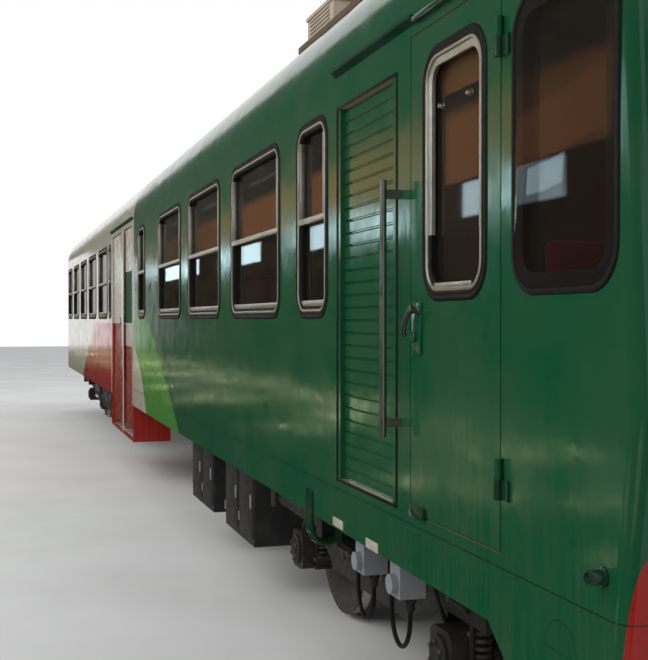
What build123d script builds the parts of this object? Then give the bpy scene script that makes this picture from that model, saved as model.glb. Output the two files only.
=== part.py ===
"""Railway passenger coach with a driving cab at one end.

Millimetres. +X points to the cab end, +Z up. The origin lies on the floor below the middle of
the coach, level with the lowest points of the wheel flanges. The right side is -Y.
Tables give "back" as the distance back from the cab corner, and heights above the rail.
Pieces of the side are drawn on the right and mirrored to the left.
"""
import os
from math import asin, cos, radians, sin

from build123d import *

os.makedirs("parts", exist_ok=True)

# Body
BODY_LENGTH = 22600
BODY_WIDTH = 2880
WALL = 80
END_WALL = 90
ROOF_SHELL = 60
CORNER_RADIUS = 60
NOSE_BULGE = 120
NOSE_FLAT = 900
SKIRT = 950
FLOOR_TOP = 1210
FLOOR_THICK = 80
KNEE = 1750
SIDE_TOP = 3270
SHOULDER_RADIUS = 620
SHOULDER_ANGLE = 70
DOME_LENGTH = 1500
LOWER_SETBACK = 110
UPPER_SETBACK = 100
SEAT_GAP = 0.3
DOOR_GAP = 8
CORNER_STEPS = 3

# Wheels and bogies
WHEEL_RADIUS = 460
FLANGE_DEPTH = 30
WHEEL_BACKS = 1360
WHEEL_WIDTH = 135
FLANGE_WIDTH = 33
FLANGE_TIP = 14
WEB_THICK = 60
RIM_DEPTH = 62
AXLE_RADIUS = 80
JOURNAL_RADIUS = 60
JOURNAL_END = 1120
BOGIE_BACK = 3300
WHEELBASE = 2450

# Bays of seats and windows: the saloons take up whatever length the rest leaves
FRONT_BAYS = 3
REAR_BAYS = 4
OTHER_LENGTH = 9965
WINDOW_PILLAR = 390

# Windows
WINDOW_LOW = 2030
WINDOW_HIGH = 3136
WINDOW_RADIUS = 150
FRAME_WIDTH = 75
FRAME_PROUD = 8
FRAME_DEPTH = 30
HOLE_INSET = 46
TRANSOM_HEIGHT = 2580
TRANSOM_WIDTH = 35
GLASS_THICK = 10
FIRST_WINDOW = 3840
FIRST_NARROW = (2860, 3470)
NARROW_AFTER = (625, 1235)
ENTRANCE_AFTER = 1675
REAR_NARROW = (50, 410)
REAR_WINDOW_AFTER = 580
LAST_WINDOW_END = 160

# Cab side
CAB_WINDOW = (100, 760)
CAB_WINDOW_LOW = 2107
CAB_WINDOW_HIGH = 3120
CAB_DOOR = (850, 1685)
CAB_DOOR_LOW = 1216
CAB_DOOR_HIGH = 3215
DOOR_THICK = 45
DROPLIGHT = (954, 1556)
DROPLIGHT_LOW = 2100
DROPLIGHT_HIGH = 3125
HINGE_RADIUS = 16
HINGE_HEIGHTS = [(1400, 1545), (2940, 3080)]
HINGE_FLAP = 60
HINGE_PLATE = 10
HANDLE = (1560, 1660)
HANDLE_LOW = 1880
HANDLE_HIGH = 2100
HANDLE_PLATE = 10
LEVER_OUT = 55
LEVER_RADIUS = 12
LEVER_TOP = (1590, 2075)
LEVER_TIP = (1690, 1970)
SHUTTER = (1860, 2690)
SHUTTER_LOW = 1215
SHUTTER_HIGH = 3095
SHUTTER_SET_IN = 25
SHUTTER_GUIDE = 40
SLAT_PITCH = 62
SLAT_THICK = 30
SLAT_GROOVE = 8
HANDRAIL_BACK = 1810
HANDRAIL = (1520, 2630)
HANDRAIL_RADIUS = 15
HANDRAIL_BRACKET = 40
HANDRAIL_OFFSET = 80
CONNECTORS = [2030, 2520]
CONNECTOR_SIZE = 125
CONNECTOR_LOW = 760
CONNECTOR_CAP = 45
CONNECTOR_SET_IN = 60

# Entrance: two leaves with a pillar between them, each turning on a round post at its outer edge
ENTRANCE_LENGTH = 2500
LEAF_NEAR = (130, 1020)
LEAF_FAR = (1310, 2350)
LEAF_LOW = 620
LEAF_HIGH = 3200
LEAF_THICK = 40
LEAF_SET_IN = 20
LEAF_POST = 22
STEP_BOTTOM = 500
STEP_DEPTH = 460
STEP_PLATE = 30
STEP_TREAD = 850
WELL_CHEEK = 60
GUTTER_HEIGHT = 3290
GUTTER_SIZE = 26
SHUTTER_GUTTER = (1630, 2730)
LEAF_HANDLE_IN = 70
LEAF_HANDLE = (1960, 2060)
LEAF_HANDLE_SIZE = 30

# Cab end
SCREEN_PILLAR = 110
SCREEN_SIDE = 150
SCREEN_LOW = 2080
SCREEN_HIGH = 3120
SCREEN_CORNER = 110
SCREEN_SET_IN = 40
APRON_LOW = 450
APRON_THICK = 40
APRON_TOP_BACK = 945
APRON_MID = (820, 850)
APRON_FOOT = 640
LAMP_SIDE = 390
LAMP_HEIGHT = 1500
LAMP_RADIUS = 110
LAMP_SET_IN = 120
LAMP_LENGTH = 90
TAIL_LAMP_RADIUS = 60

# Rear end with its gangway
GANGWAY_WIDTH = 700
GANGWAY_HIGH = 3180
GANGWAY_POST = 25
GANGWAY_PANE = (2100, 3000)
PANE_STILE = 110
PANE_CORNER = 60
BELLOWS_WIDTH = 150
BELLOWS_LENGTH = 260
BELLOWS_CORNER = 150
FOLD_COUNT = 4
FOLD_DEPTH = 40

# Buffers and drawhooks
BUFFER_REACH = 470
BUFFER_SPACING = 1750
BUFFER_HEIGHT = 1050
BUFFER_HEAD_WIDTH = 500
BUFFER_HEAD_HEIGHT = 360
BUFFER_TUBE = 78
BUFFER_TUBE_LENGTH = 460
BUFFER_PLUNGER = 62
BUFFER_HEAD_THICK = 40
BUFFER_HEAD_CORNER = 80
HOOK_SLOT = 180
HOOK_THICK = 60
HOOK_BAR = 90
HOOK_SHANK = 380
HOOK_SIZE = 110

# Inside. The partitions stand at these offsets from the ends of the shutter and the entrance
PARTITION_OFFSETS = (-140, 50, -70, 20)
PARTITION_THICK = 40
PASSAGE = 700
PASSAGE_HIGH = 1950
SEAT_BACK_SPACE = 115
SEAT_SIDE_GAP = 40
SEAT_WIDTH = 1020
CUSHION_PROFILE = [(SEAT_GAP, 350), (430, 380), (452, 430), (425, 480), (SEAT_GAP, 465)]
BACK_PROFILE = [(-60, 0), (0, 0), (0, 490), (-36, 1120), (-58, 1160), (-98, 1150), (-100, 1100)]
LAST_SEAT = 1460
RACK_HEIGHT = 1760
RACK_THICK = 30
RACK_WIDTH = 300
DESK_PROFILE = [(170, 0), (420, 0), (640, 620), (640, 700), (330, 860), (170, 860)]
DESK_SIDE_GAP = 10
DESK_WIDTH = 890
CAB_SEAT_IN = 560
CAB_SEAT_BACK = 1150
CAB_SEAT_STEM = 60
CAB_SEAT_HIGH = 420
CAB_SEAT = 460
CAB_SEAT_TOP = 1150
CUSHION = 100

# Underfloor cases. Columns: bogie, distance from its pivot towards the middle, length, low
# height, inner face from the middle
CASES = [
    (1, 1800, 1000, 360, 500),
    (1, 3300, 1000, 360, 500),
    (-1, 3100, 1400, 560, 700),
    (-1, 1800, 900, 620, 700),
]
CASE_SET_IN = 140
TANK_RADIUS = 180
TANK_LENGTH = 2000
TANK_BEFORE = 730
TANK_Y = 620
DAMPER_SET_IN = 150
DAMPER_HEIGHT = 850
DAMPER_RADIUS = 45
DAMPER_BRACKET = 110
DAMPER_LENGTH = 1050
DAMPER_LOW = 790

# Roof boxes. Columns: back near, back far, width, height above the crown, plinth overhang
ROOF_BOXES = [(5000, 6600, 1200, 180, 70), (19600, 20700, 1200, 160, 70)]
PLINTH_HIGH = 40

# Underframe
SOLE_BAR_GAP = 5
SOLE_BAR_WIDTH = 155
SOLE_LOW = 985
BEARER_LOW = 1010
CROSS_BEARERS = 14
CROSS_BEARER_WIDTH = 140
INNER_BAR_GAP = 60
INNER_BAR_WIDTH = 120
SIDE_STEP = 900
BOLSTER_LENGTH = 700
HEADSTOCK_BACK = 330
HEADSTOCK_THICK = 60
HEADSTOCK_LOW = 900
PIVOT_RADIUS = 90
PIVOT_LOW = 560

# Bogie
BEAM_CENTRE = 1000
BEAM_THICK = 130
BEAM_LOW = 640
BEAM_SADDLE = 640
BEAM_END = 335
BEAM_SHOULDER_IN = 740
BEAM_FOOT_IN = 605
WELL_HALF = (600, 620)
WELL_LOW = 450
BEAM_TOP = 760
BEAM_SHOULDER = 800
TRANSOM_BEAM = (170, 350)
TRANSOM_LOW = 470
PIVOT_BLOCK = 220
PIVOT_TOP = 700
AXLEBOX = 250
AXLEBOX_CORNER = 50
AXLEBOX_IN = 930
AXLEBOX_OUT = 1135
GUIDE_THICK = 35
GUIDE_WIDTH = 90
GUIDE_LOW = 360
SPRING_RADIUS = 130
SHOE_GAP = 6
SHOE_THICK = 45
SHOE_TURN = 22
SHOE_SPAN = (730, 800)
BEAM_IN_SHOE = 15
BRAKE_BEAM = 60
BRAKE_ROD = 40

half_length = BODY_LENGTH / 2
half_width = BODY_WIDTH / 2
rail_top = FLANGE_DEPTH
axle_height = WHEEL_RADIUS + FLANGE_DEPTH
shoulder_centre = half_width - SHOULDER_RADIUS
roof_start = shoulder_centre + SHOULDER_RADIUS * cos(radians(SHOULDER_ANGLE))
roof_slope = radians(90 - SHOULDER_ANGLE)
roof_radius = roof_start / sin(roof_slope)
crown = (SIDE_TOP + SHOULDER_RADIUS * sin(radians(SHOULDER_ANGLE))
         + roof_radius * (1 - cos(roof_slope)))
bogie_x = half_length - BOGIE_BACK
end_x = half_length + NOSE_BULGE
buffer_face = half_length + BUFFER_REACH
headstock_x = half_length - HEADSTOCK_BACK
wall_inside = half_width - WALL
floor_low = FLOOR_TOP - FLOOR_THICK

# Places along the coach, all as distances back from the cab corner
bay = (BODY_LENGTH - OTHER_LENGTH) / (FRONT_BAYS + REAR_BAYS)
front_end = FIRST_WINDOW + FRONT_BAYS * bay
entrance = (front_end + ENTRANCE_AFTER, front_end + ENTRANCE_AFTER + ENTRANCE_LENGTH)
rear_window = entrance[1] + REAR_WINDOW_AFTER
windows = [FIRST_NARROW, (front_end + NARROW_AFTER[0], front_end + NARROW_AFTER[1]),
           (entrance[1] + REAR_NARROW[0], entrance[1] + REAR_NARROW[1])]
windows += [(FIRST_WINDOW + n * bay, FIRST_WINDOW + (n + 1) * bay - WINDOW_PILLAR)
            for n in range(FRONT_BAYS)]
windows += [(rear_window + n * bay, rear_window + (n + 1) * bay - WINDOW_PILLAR)
            for n in range(REAR_BAYS)]
windows += [(rear_window + REAR_BAYS * bay, BODY_LENGTH - LAST_WINDOW_END)]
leaves = [("front", entrance[0] + LEAF_NEAR[0], entrance[0] + LEAF_NEAR[1]),
          ("rear", entrance[0] + LEAF_FAR[0], entrance[0] + LEAF_FAR[1])]
partition_places = [place + offset for place, offset
                    in zip((*SHUTTER, *entrance), PARTITION_OFFSETS)]


def along(back):
    """X of a place given by its distance back from the cab corner."""
    return half_length - back


def up(height):
    """Z of a height above the rail."""
    return rail_top + height


def save(builder, name):
    """Label a finished sub-part and write it."""
    builder.part.label = name
    export_step(builder.part, f"parts/{name}.step")


def save_both(builder, right_name, left_name):
    """Save a right-hand sub-part and its mirror image."""
    save(builder, right_name)
    with BuildPart() as other_hand:
        mirror(builder.part, about=Plane.XZ)
    save(other_hand, left_name)


def block(x, y, z, mode=Mode.ADD):
    """A block given by its low and high faces along each axis."""
    with Locations(((x[0] + x[1]) / 2, (y[0] + y[1]) / 2, (z[0] + z[1]) / 2)):
        Box(abs(x[1] - x[0]), abs(y[1] - y[0]), abs(z[1] - z[0]), mode=mode)


def stepped(low, high, bottom, top, radius, mode=Mode.ADD):
    """A rectangle in a sketch, its corners rounded in a few straight steps."""
    middles = [(high - radius, top - radius), (low + radius, top - radius),
               (low + radius, bottom + radius), (high - radius, bottom + radius)]
    points = []
    for corner, (mid_x, mid_z) in enumerate(middles):
        for step in range(CORNER_STEPS + 1):
            turn = radians(90 * (corner + step / CORNER_STEPS))
            points.append((mid_x + radius * cos(turn), mid_z + radius * sin(turn)))
    Polygon(*points, align=None, mode=mode)


def window_ring(near, far, low, high, depth, transom):
    """A window's frame on the right side: a proud flange and a sleeve through the wall."""
    x = (along(far), along(near))
    z = (up(low), up(high))
    inner = WINDOW_RADIUS - FRAME_WIDTH
    with BuildSketch(Plane.XZ.offset(half_width)) as flange:
        stepped(x[0], x[1], z[0], z[1], WINDOW_RADIUS)
        stepped(x[0] + FRAME_WIDTH, x[1] - FRAME_WIDTH, z[0] + FRAME_WIDTH, z[1] - FRAME_WIDTH,
                inner, mode=Mode.SUBTRACT)
    extrude(flange.sketch, amount=FRAME_PROUD)
    edge = HOLE_INSET + SEAT_GAP
    with BuildSketch(Plane.XZ.offset(half_width - depth)) as sleeve:
        Polygon((x[0] + edge, z[0] + edge), (x[1] - edge, z[0] + edge), (x[1] - edge, z[1] - edge),
                (x[0] + edge, z[1] - edge), align=None)
        stepped(x[0] + FRAME_WIDTH, x[1] - FRAME_WIDTH, z[0] + FRAME_WIDTH, z[1] - FRAME_WIDTH,
                inner, mode=Mode.SUBTRACT)
    extrude(sleeve.sketch, amount=depth)
    if transom:
        block((x[0] + edge, x[1] - edge), (-half_width - FRAME_PROUD, -half_width + depth),
              (up(TRANSOM_HEIGHT) - TRANSOM_WIDTH / 2, up(TRANSOM_HEIGHT) + TRANSOM_WIDTH / 2))


def window_hole(near, far, low, high):
    """The hole that a window's sleeve stands in, through the right side wall."""
    block((along(far) + HOLE_INSET, along(near) - HOLE_INSET), (-half_width, -wall_inside),
          (up(low) + HOLE_INSET, up(high) - HOLE_INSET), mode=Mode.SUBTRACT)


def window_pane(near, far, low, high, depth):
    """A pane behind a window's sleeve, on the right side."""
    edge = HOLE_INSET + 2 * SEAT_GAP
    face = -half_width + depth + SEAT_GAP
    block((along(far) + edge, along(near) - edge), (face, face + GLASS_THICK),
          (up(low) + edge, up(high) - edge))


def hinge_half(edge, on_wall, low, high):
    """Half of an external hinge on the right side: its share of the barrel and one flap.

    The edge gives the door's hinged edge along X and the way from it to the wall. The barrel
    stands just past that edge, on the outer face.
    """
    edge_x, wall_way = edge
    barrel_x = edge_x + wall_way * HINGE_RADIUS
    way = wall_way if on_wall else -wall_way
    with BuildSketch(Plane.XY.offset(up(low))) as barrel:
        with Locations((barrel_x, -half_width - HINGE_RADIUS)):
            Circle(HINGE_RADIUS)
    extrude(barrel.sketch, amount=high - low)
    block((barrel_x, barrel_x + way * HINGE_FLAP), (-half_width, -half_width - HINGE_PLATE),
          (up(low), up(high)))


def section(inset):
    """The body's cross-section, drawn in a sketch on a YZ plane."""
    shoulder = SHOULDER_RADIUS - inset
    side = half_width - inset
    turn = radians(SHOULDER_ANGLE)
    roof_y = shoulder_centre + shoulder * cos(turn)
    roof_z = up(SIDE_TOP) + shoulder * sin(turn)
    half_turn = turn / 2
    mid_y = shoulder_centre + shoulder * cos(half_turn)
    mid_z = up(SIDE_TOP) + shoulder * sin(half_turn)
    with BuildLine() as edge:
        Polyline((side, up(SIDE_TOP)), (side, up(SKIRT)), (-side, up(SKIRT)), (-side, up(SIDE_TOP)))
        ThreePointArc((side, up(SIDE_TOP)), (mid_y, mid_z), (roof_y, roof_z))
        ThreePointArc((-side, up(SIDE_TOP)), (-mid_y, mid_z), (-roof_y, roof_z))
        ThreePointArc((-roof_y, roof_z), (0, up(crown) - inset), (roof_y, roof_z))
    make_face(edge.edges())


def plan(setback, inset, side_inset):
    """The body's outline from above, drawn in a sketch on an XY plane: a nose and a flat end."""
    corner_x = half_length - setback - inset
    rear_x = -half_length + inset
    side = half_width - side_inset
    flat = NOSE_FLAT / 2
    nose_x = corner_x + NOSE_BULGE
    Polygon((corner_x, -side), (nose_x, -flat), (nose_x, flat), (corner_x, side),
            (rear_x, side), (rear_x, -side), align=None)


def body_form(inset, end_inset, lowest=SKIRT):
    """The whole body as one block, smaller by the insets."""
    dome_radius = (DOME_LENGTH**2 + (crown - SIDE_TOP)**2) / (2 * (crown - SIDE_TOP)) - end_inset
    dome_x = end_x - UPPER_SETBACK - DOME_LENGTH
    dome_z = up(crown) - dome_radius - end_inset
    dome_turn = asin((up(SIDE_TOP) - dome_z) / dome_radius)
    end_arc = (dome_x + dome_radius * cos(dome_turn), up(SIDE_TOP))
    mid_turn = (dome_turn + radians(90)) / 2
    mid_arc = (dome_x + dome_radius * cos(mid_turn), dome_z + dome_radius * sin(mid_turn))
    top_z = dome_z + dome_radius
    reach = end_x + DOME_LENGTH
    with BuildPart() as form:
        levels = [(lowest, LOWER_SETBACK), (KNEE, 0), (SIDE_TOP, UPPER_SETBACK),
                  (crown + SHOULDER_RADIUS, UPPER_SETBACK + LOWER_SETBACK)]
        for height, setback in levels:
            with BuildSketch(Plane.XY.offset(up(height))):
                plan(setback, end_inset, inset)
                if not end_inset:
                    corners = vertices().group_by(lambda v: abs(v.Y))[-1]
                    fillet(corners, CORNER_RADIUS)
        loft(ruled=True)
        with BuildSketch(Plane.YZ.offset(-end_x)):
            section(inset)
        extrude(amount=2 * end_x, mode=Mode.INTERSECT)
        with BuildSketch(Plane.XZ.offset(-half_width)):
            with BuildLine():
                ThreePointArc((dome_x, top_z), mid_arc, end_arc)
                Polyline(end_arc, (reach, up(SIDE_TOP)), (reach, 0), (-reach, 0), (-reach, top_z),
                         (dome_x, top_z))
            make_face()
        extrude(amount=BODY_WIDTH, mode=Mode.INTERSECT)
    return form.part


outer_form = body_form(0, 0)
inner_form = body_form(WALL, END_WALL)
roof_inner_form = body_form(ROOF_SHELL, ROOF_SHELL)
SIDES = (-1, 1)
ENDS = [("front", 1), ("rear", -1)]
side_windows = [(near, far, WINDOW_LOW, WINDOW_HIGH) for near, far in windows]
cab_pane = (*CAB_WINDOW, CAB_WINDOW_LOW, CAB_WINDOW_HIGH)
cab_hinge = (along(CAB_DOOR[0]), 1)
cab_hole = (*DROPLIGHT, DROPLIGHT_LOW, DROPLIGHT_HIGH)
leaf_y = half_width - LEAF_SET_IN - LEAF_THICK / 2
entrance_x = (along(entrance[1]), along(entrance[0]))
well_y = half_width - STEP_DEPTH

# Side walls
with BuildPart() as side_wall:
    add(outer_form)
    block((-end_x, end_x), (-half_width, -wall_inside), (up(SKIRT), up(SIDE_TOP)),
          mode=Mode.INTERSECT)
    for window in side_windows + [cab_pane]:
        window_hole(*window)
    wall_y = (-half_width, -wall_inside)
    block((along(CAB_DOOR[1]) - DOOR_GAP, along(CAB_DOOR[0]) + DOOR_GAP), wall_y,
          (up(CAB_DOOR_LOW) - DOOR_GAP, up(CAB_DOOR_HIGH) + DOOR_GAP), mode=Mode.SUBTRACT)
    block((along(SHUTTER[1]), along(SHUTTER[0])), wall_y, (up(SHUTTER_LOW), up(SHUTTER_HIGH)),
          mode=Mode.SUBTRACT)
    for leaf, near, far in leaves:
        block((along(far) - DOOR_GAP, along(near) + DOOR_GAP), wall_y,
              (up(SKIRT), up(LEAF_HIGH) + DOOR_GAP), mode=Mode.SUBTRACT)
    block(entrance_x, wall_y, (up(SKIRT), up(FLOOR_TOP)), mode=Mode.SUBTRACT)
save_both(side_wall, "side_wall_right", "side_wall_left")

# Roof, whose eaves carry gutters over the entrances and the shutters
with BuildPart() as roof:
    add(outer_form)
    add(roof_inner_form, mode=Mode.SUBTRACT)
    block((-end_x, end_x), (-half_width, half_width), (up(SIDE_TOP), up(crown) + ROOF_SHELL),
          mode=Mode.INTERSECT)
save(roof, "roof")

with BuildPart() as rain_gutters:
    for side in SIDES:
        for near, far in (entrance, SHUTTER_GUTTER):
            with BuildSketch(Plane.YZ.offset(along(far))):
                Polygon((side * half_width, up(GUTTER_HEIGHT) - GUTTER_SIZE),
                        (side * (half_width + GUTTER_SIZE), up(GUTTER_HEIGHT)),
                        (side * (half_width + GUTTER_SIZE), up(GUTTER_HEIGHT) + GUTTER_SIZE / 2),
                        (side * half_width, up(GUTTER_HEIGHT)), align=None)
            extrude(amount=far - near)
save(rain_gutters, "rain_gutters")

# End walls: two wide screens at the front, the gangway at the rear, and slots for the couplings
buffer_places = [(side * BUFFER_SPACING / 2, up(BUFFER_HEIGHT)) for side in SIDES]
screen_y = (SCREEN_PILLAR / 2, half_width - SCREEN_SIDE)
buffer_slot = 2 * (BUFFER_TUBE + DOOR_GAP)
for end, way in ENDS:
    with BuildPart() as end_wall:
        add(outer_form)
        add(inner_form, mode=Mode.SUBTRACT)
        block((0, way * end_x), (-wall_inside, wall_inside), (up(SKIRT), up(SIDE_TOP)),
              mode=Mode.INTERSECT)
        with BuildSketch(Plane.YZ):
            if end == "front":
                for side in SIDES:
                    low, high = sorted((side * screen_y[0], side * screen_y[1]))
                    stepped(low, high, up(SCREEN_LOW), up(SCREEN_HIGH), SCREEN_CORNER)
            else:
                with Locations((0, (up(FLOOR_TOP) + up(GANGWAY_HIGH)) / 2)):
                    Rectangle(GANGWAY_WIDTH + 2 * DOOR_GAP, GANGWAY_HIGH - FLOOR_TOP + 2 * DOOR_GAP)
            with Locations(*buffer_places):
                Rectangle(buffer_slot, buffer_slot)
            with Locations((0, up(BUFFER_HEIGHT))):
                Rectangle(HOOK_SLOT, 2 * HOOK_SIZE + 2 * DOOR_GAP)
        extrude(amount=way * end_x, mode=Mode.SUBTRACT)
    save(end_wall, f"{end}_wall")

# Screens, which follow the slope of the nose
with BuildPart() as end_screens:
    add(body_form(WALL, SCREEN_SET_IN))
    add(body_form(WALL, SCREEN_SET_IN + GLASS_THICK), mode=Mode.SUBTRACT)
    with BuildSketch(Plane.YZ):
        for side in SIDES:
            low, high = sorted((side * (screen_y[0] + SEAT_GAP), side * (screen_y[1] - SEAT_GAP)))
            stepped(low, high, up(SCREEN_LOW) + SEAT_GAP, up(SCREEN_HIGH) - SEAT_GAP,
                    SCREEN_CORNER - SEAT_GAP)
    extrude(amount=end_x, mode=Mode.INTERSECT)
save(end_screens, "end_screens")

# Apron below the cab end, which wraps round onto the sides
with BuildPart() as front_apron:
    with BuildSketch(Plane.XY.offset(up(APRON_LOW))):
        plan(LOWER_SETBACK, 0, 0)
        plan_corners = vertices().group_by(lambda v: abs(v.Y))[-1]
        fillet(plan_corners, CORNER_RADIUS)
    extrude(amount=SKIRT - APRON_LOW)
    with BuildSketch(Plane.XY.offset(up(APRON_LOW))):
        plan(LOWER_SETBACK, APRON_THICK, APRON_THICK)
    extrude(amount=SKIRT - APRON_LOW, mode=Mode.SUBTRACT)
    with BuildSketch(Plane.XZ.offset(-half_width)):
        Polygon(
            (along(APRON_TOP_BACK), up(SKIRT)), (along(APRON_MID[0]), up(APRON_MID[1])),
            (along(APRON_FOOT), up(APRON_LOW)), (end_x, up(APRON_LOW)), (end_x, up(SKIRT)),
            align=None,
        )
    extrude(amount=BODY_WIDTH, mode=Mode.INTERSECT)
    with BuildSketch(Plane.YZ):
        with Locations(*buffer_places):
            Rectangle(buffer_slot, buffer_slot)
        with Locations((0, up(BUFFER_HEIGHT))):
            Rectangle(HOOK_SLOT, 2 * (BUFFER_HEIGHT - SKIRT) + HOOK_SLOT)
    extrude(amount=end_x, mode=Mode.SUBTRACT)
save(front_apron, "front_apron")

# Floor, cut back at the entrances
with BuildPart() as floor:
    add(inner_form)
    block((-end_x, end_x), (-half_width, half_width), (up(floor_low), up(FLOOR_TOP)),
          mode=Mode.INTERSECT)
    for side in SIDES:
        block(entrance_x, (side * well_y, side * half_width), (up(SKIRT), up(FLOOR_TOP)),
              mode=Mode.SUBTRACT)
save(floor, "floor")

# Underframe: a ladder of sole bars and cross-bearers, with a bolster over each bogie
sole_out = wall_inside - SOLE_BAR_GAP
sole_in = sole_out - SOLE_BAR_WIDTH
inner_bar = well_y - INNER_BAR_GAP
ladder_x = headstock_x - HEADSTOCK_THICK
with BuildPart() as underframe:
    for side in SIDES:
        block((-ladder_x, ladder_x), (side * sole_in, side * sole_out), (up(SOLE_LOW), up(floor_low)))
        block((entrance_x[0] - SIDE_STEP, entrance_x[1] + SIDE_STEP),
              (side * (inner_bar - INNER_BAR_WIDTH), side * inner_bar), (up(BEARER_LOW), up(floor_low)))
        block(entrance_x, (side * well_y, side * half_width), (up(SOLE_LOW), up(floor_low)),
              mode=Mode.SUBTRACT)
    for bearer in range(CROSS_BEARERS):
        bearer_x = -ladder_x + (bearer + 0.5) * 2 * ladder_x / CROSS_BEARERS
        reach = well_y if entrance_x[0] < bearer_x < entrance_x[1] else sole_out
        block((bearer_x - CROSS_BEARER_WIDTH / 2, bearer_x + CROSS_BEARER_WIDTH / 2),
              (-reach, reach), (up(BEARER_LOW), up(floor_low)))
    for way in SIDES:
        block((way * bogie_x - BOLSTER_LENGTH / 2, way * bogie_x + BOLSTER_LENGTH / 2),
              (-sole_out, sole_out), (up(SOLE_LOW), up(floor_low)))
save(underframe, "underframe")

with BuildPart() as headstocks:
    for way in SIDES:
        block((way * headstock_x, way * ladder_x), (-sole_out, sole_out),
              (up(HEADSTOCK_LOW), up(floor_low)))
save(headstocks, "headstocks")

with BuildPart() as pivot_pins:
    with BuildSketch(Plane.XY.offset(up(PIVOT_LOW))):
        with Locations((bogie_x, 0), (-bogie_x, 0)):
            Circle(PIVOT_RADIUS)
    extrude(amount=SOLE_LOW - PIVOT_LOW)
save(pivot_pins, "pivot_pins")

# Step wells under the entrances: bottom, back, ends and one tread
with BuildPart() as step_wells:
    back_y = well_y + STEP_PLATE
    tread_y = leaf_y - LEAF_POST - DOOR_GAP
    for side in SIDES:
        block(entrance_x, (side * well_y, side * half_width),
              (up(STEP_BOTTOM), up(STEP_BOTTOM) + STEP_PLATE))
        block(entrance_x, (side * well_y, side * back_y), (up(STEP_BOTTOM), up(FLOOR_TOP)))
        block(entrance_x, (side * back_y, side * tread_y), (up(STEP_TREAD), up(STEP_TREAD) + STEP_PLATE))
        for cheek in (entrance_x[0], entrance_x[1] - WELL_CHEEK):
            block((cheek, cheek + WELL_CHEEK), (side * well_y, side * half_width),
                  (up(STEP_BOTTOM), up(FLOOR_TOP)))
save(step_wells, "step_wells")

# Buffers: tube, plunger and an oblong head at each corner
head_back = buffer_face - BUFFER_HEAD_THICK
with BuildPart() as buffers:
    for way in SIDES:
        with BuildSketch(Plane.YZ.offset(way * headstock_x)):
            with Locations(*buffer_places):
                Circle(BUFFER_TUBE)
        extrude(amount=way * BUFFER_TUBE_LENGTH)
        with BuildSketch(Plane.YZ.offset(way * (headstock_x + BUFFER_TUBE_LENGTH))):
            with Locations(*buffer_places):
                Circle(BUFFER_PLUNGER)
        extrude(amount=way * (head_back - headstock_x - BUFFER_TUBE_LENGTH))
        with BuildSketch(Plane.YZ.offset(way * head_back)):
            for place_y, place_z in buffer_places:
                stepped(place_y - BUFFER_HEAD_WIDTH / 2, place_y + BUFFER_HEAD_WIDTH / 2,
                        place_z - BUFFER_HEAD_HEIGHT / 2, place_z + BUFFER_HEAD_HEIGHT / 2,
                        BUFFER_HEAD_CORNER)
        extrude(amount=way * BUFFER_HEAD_THICK)
save(buffers, "buffers")

# Drawhooks
hook_root = headstock_x + HOOK_SHANK
hook_tip = hook_root + HOOK_SIZE
hook_outline = [
    (headstock_x, -HOOK_BAR / 2), (hook_tip, -HOOK_BAR / 2), (hook_tip + HOOK_BAR / 2, 0),
    (hook_tip, HOOK_SIZE), (hook_tip - HOOK_BAR / 3, HOOK_SIZE), (hook_tip - HOOK_BAR / 3, HOOK_BAR / 2),
    (hook_root, HOOK_BAR / 2), (hook_root, HOOK_SIZE / 2 + HOOK_BAR / 2),
    (hook_root - HOOK_BAR, HOOK_BAR / 2), (headstock_x, HOOK_BAR / 2),
]
with BuildPart() as drawhooks:
    for way in SIDES:
        with BuildSketch(Plane.XZ.offset(-HOOK_THICK / 2)):
            Polygon(*[(way * x, up(BUFFER_HEIGHT) + z) for x, z in hook_outline], align=None)
        extrude(amount=HOOK_THICK)
save(drawhooks, "drawhooks")

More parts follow.
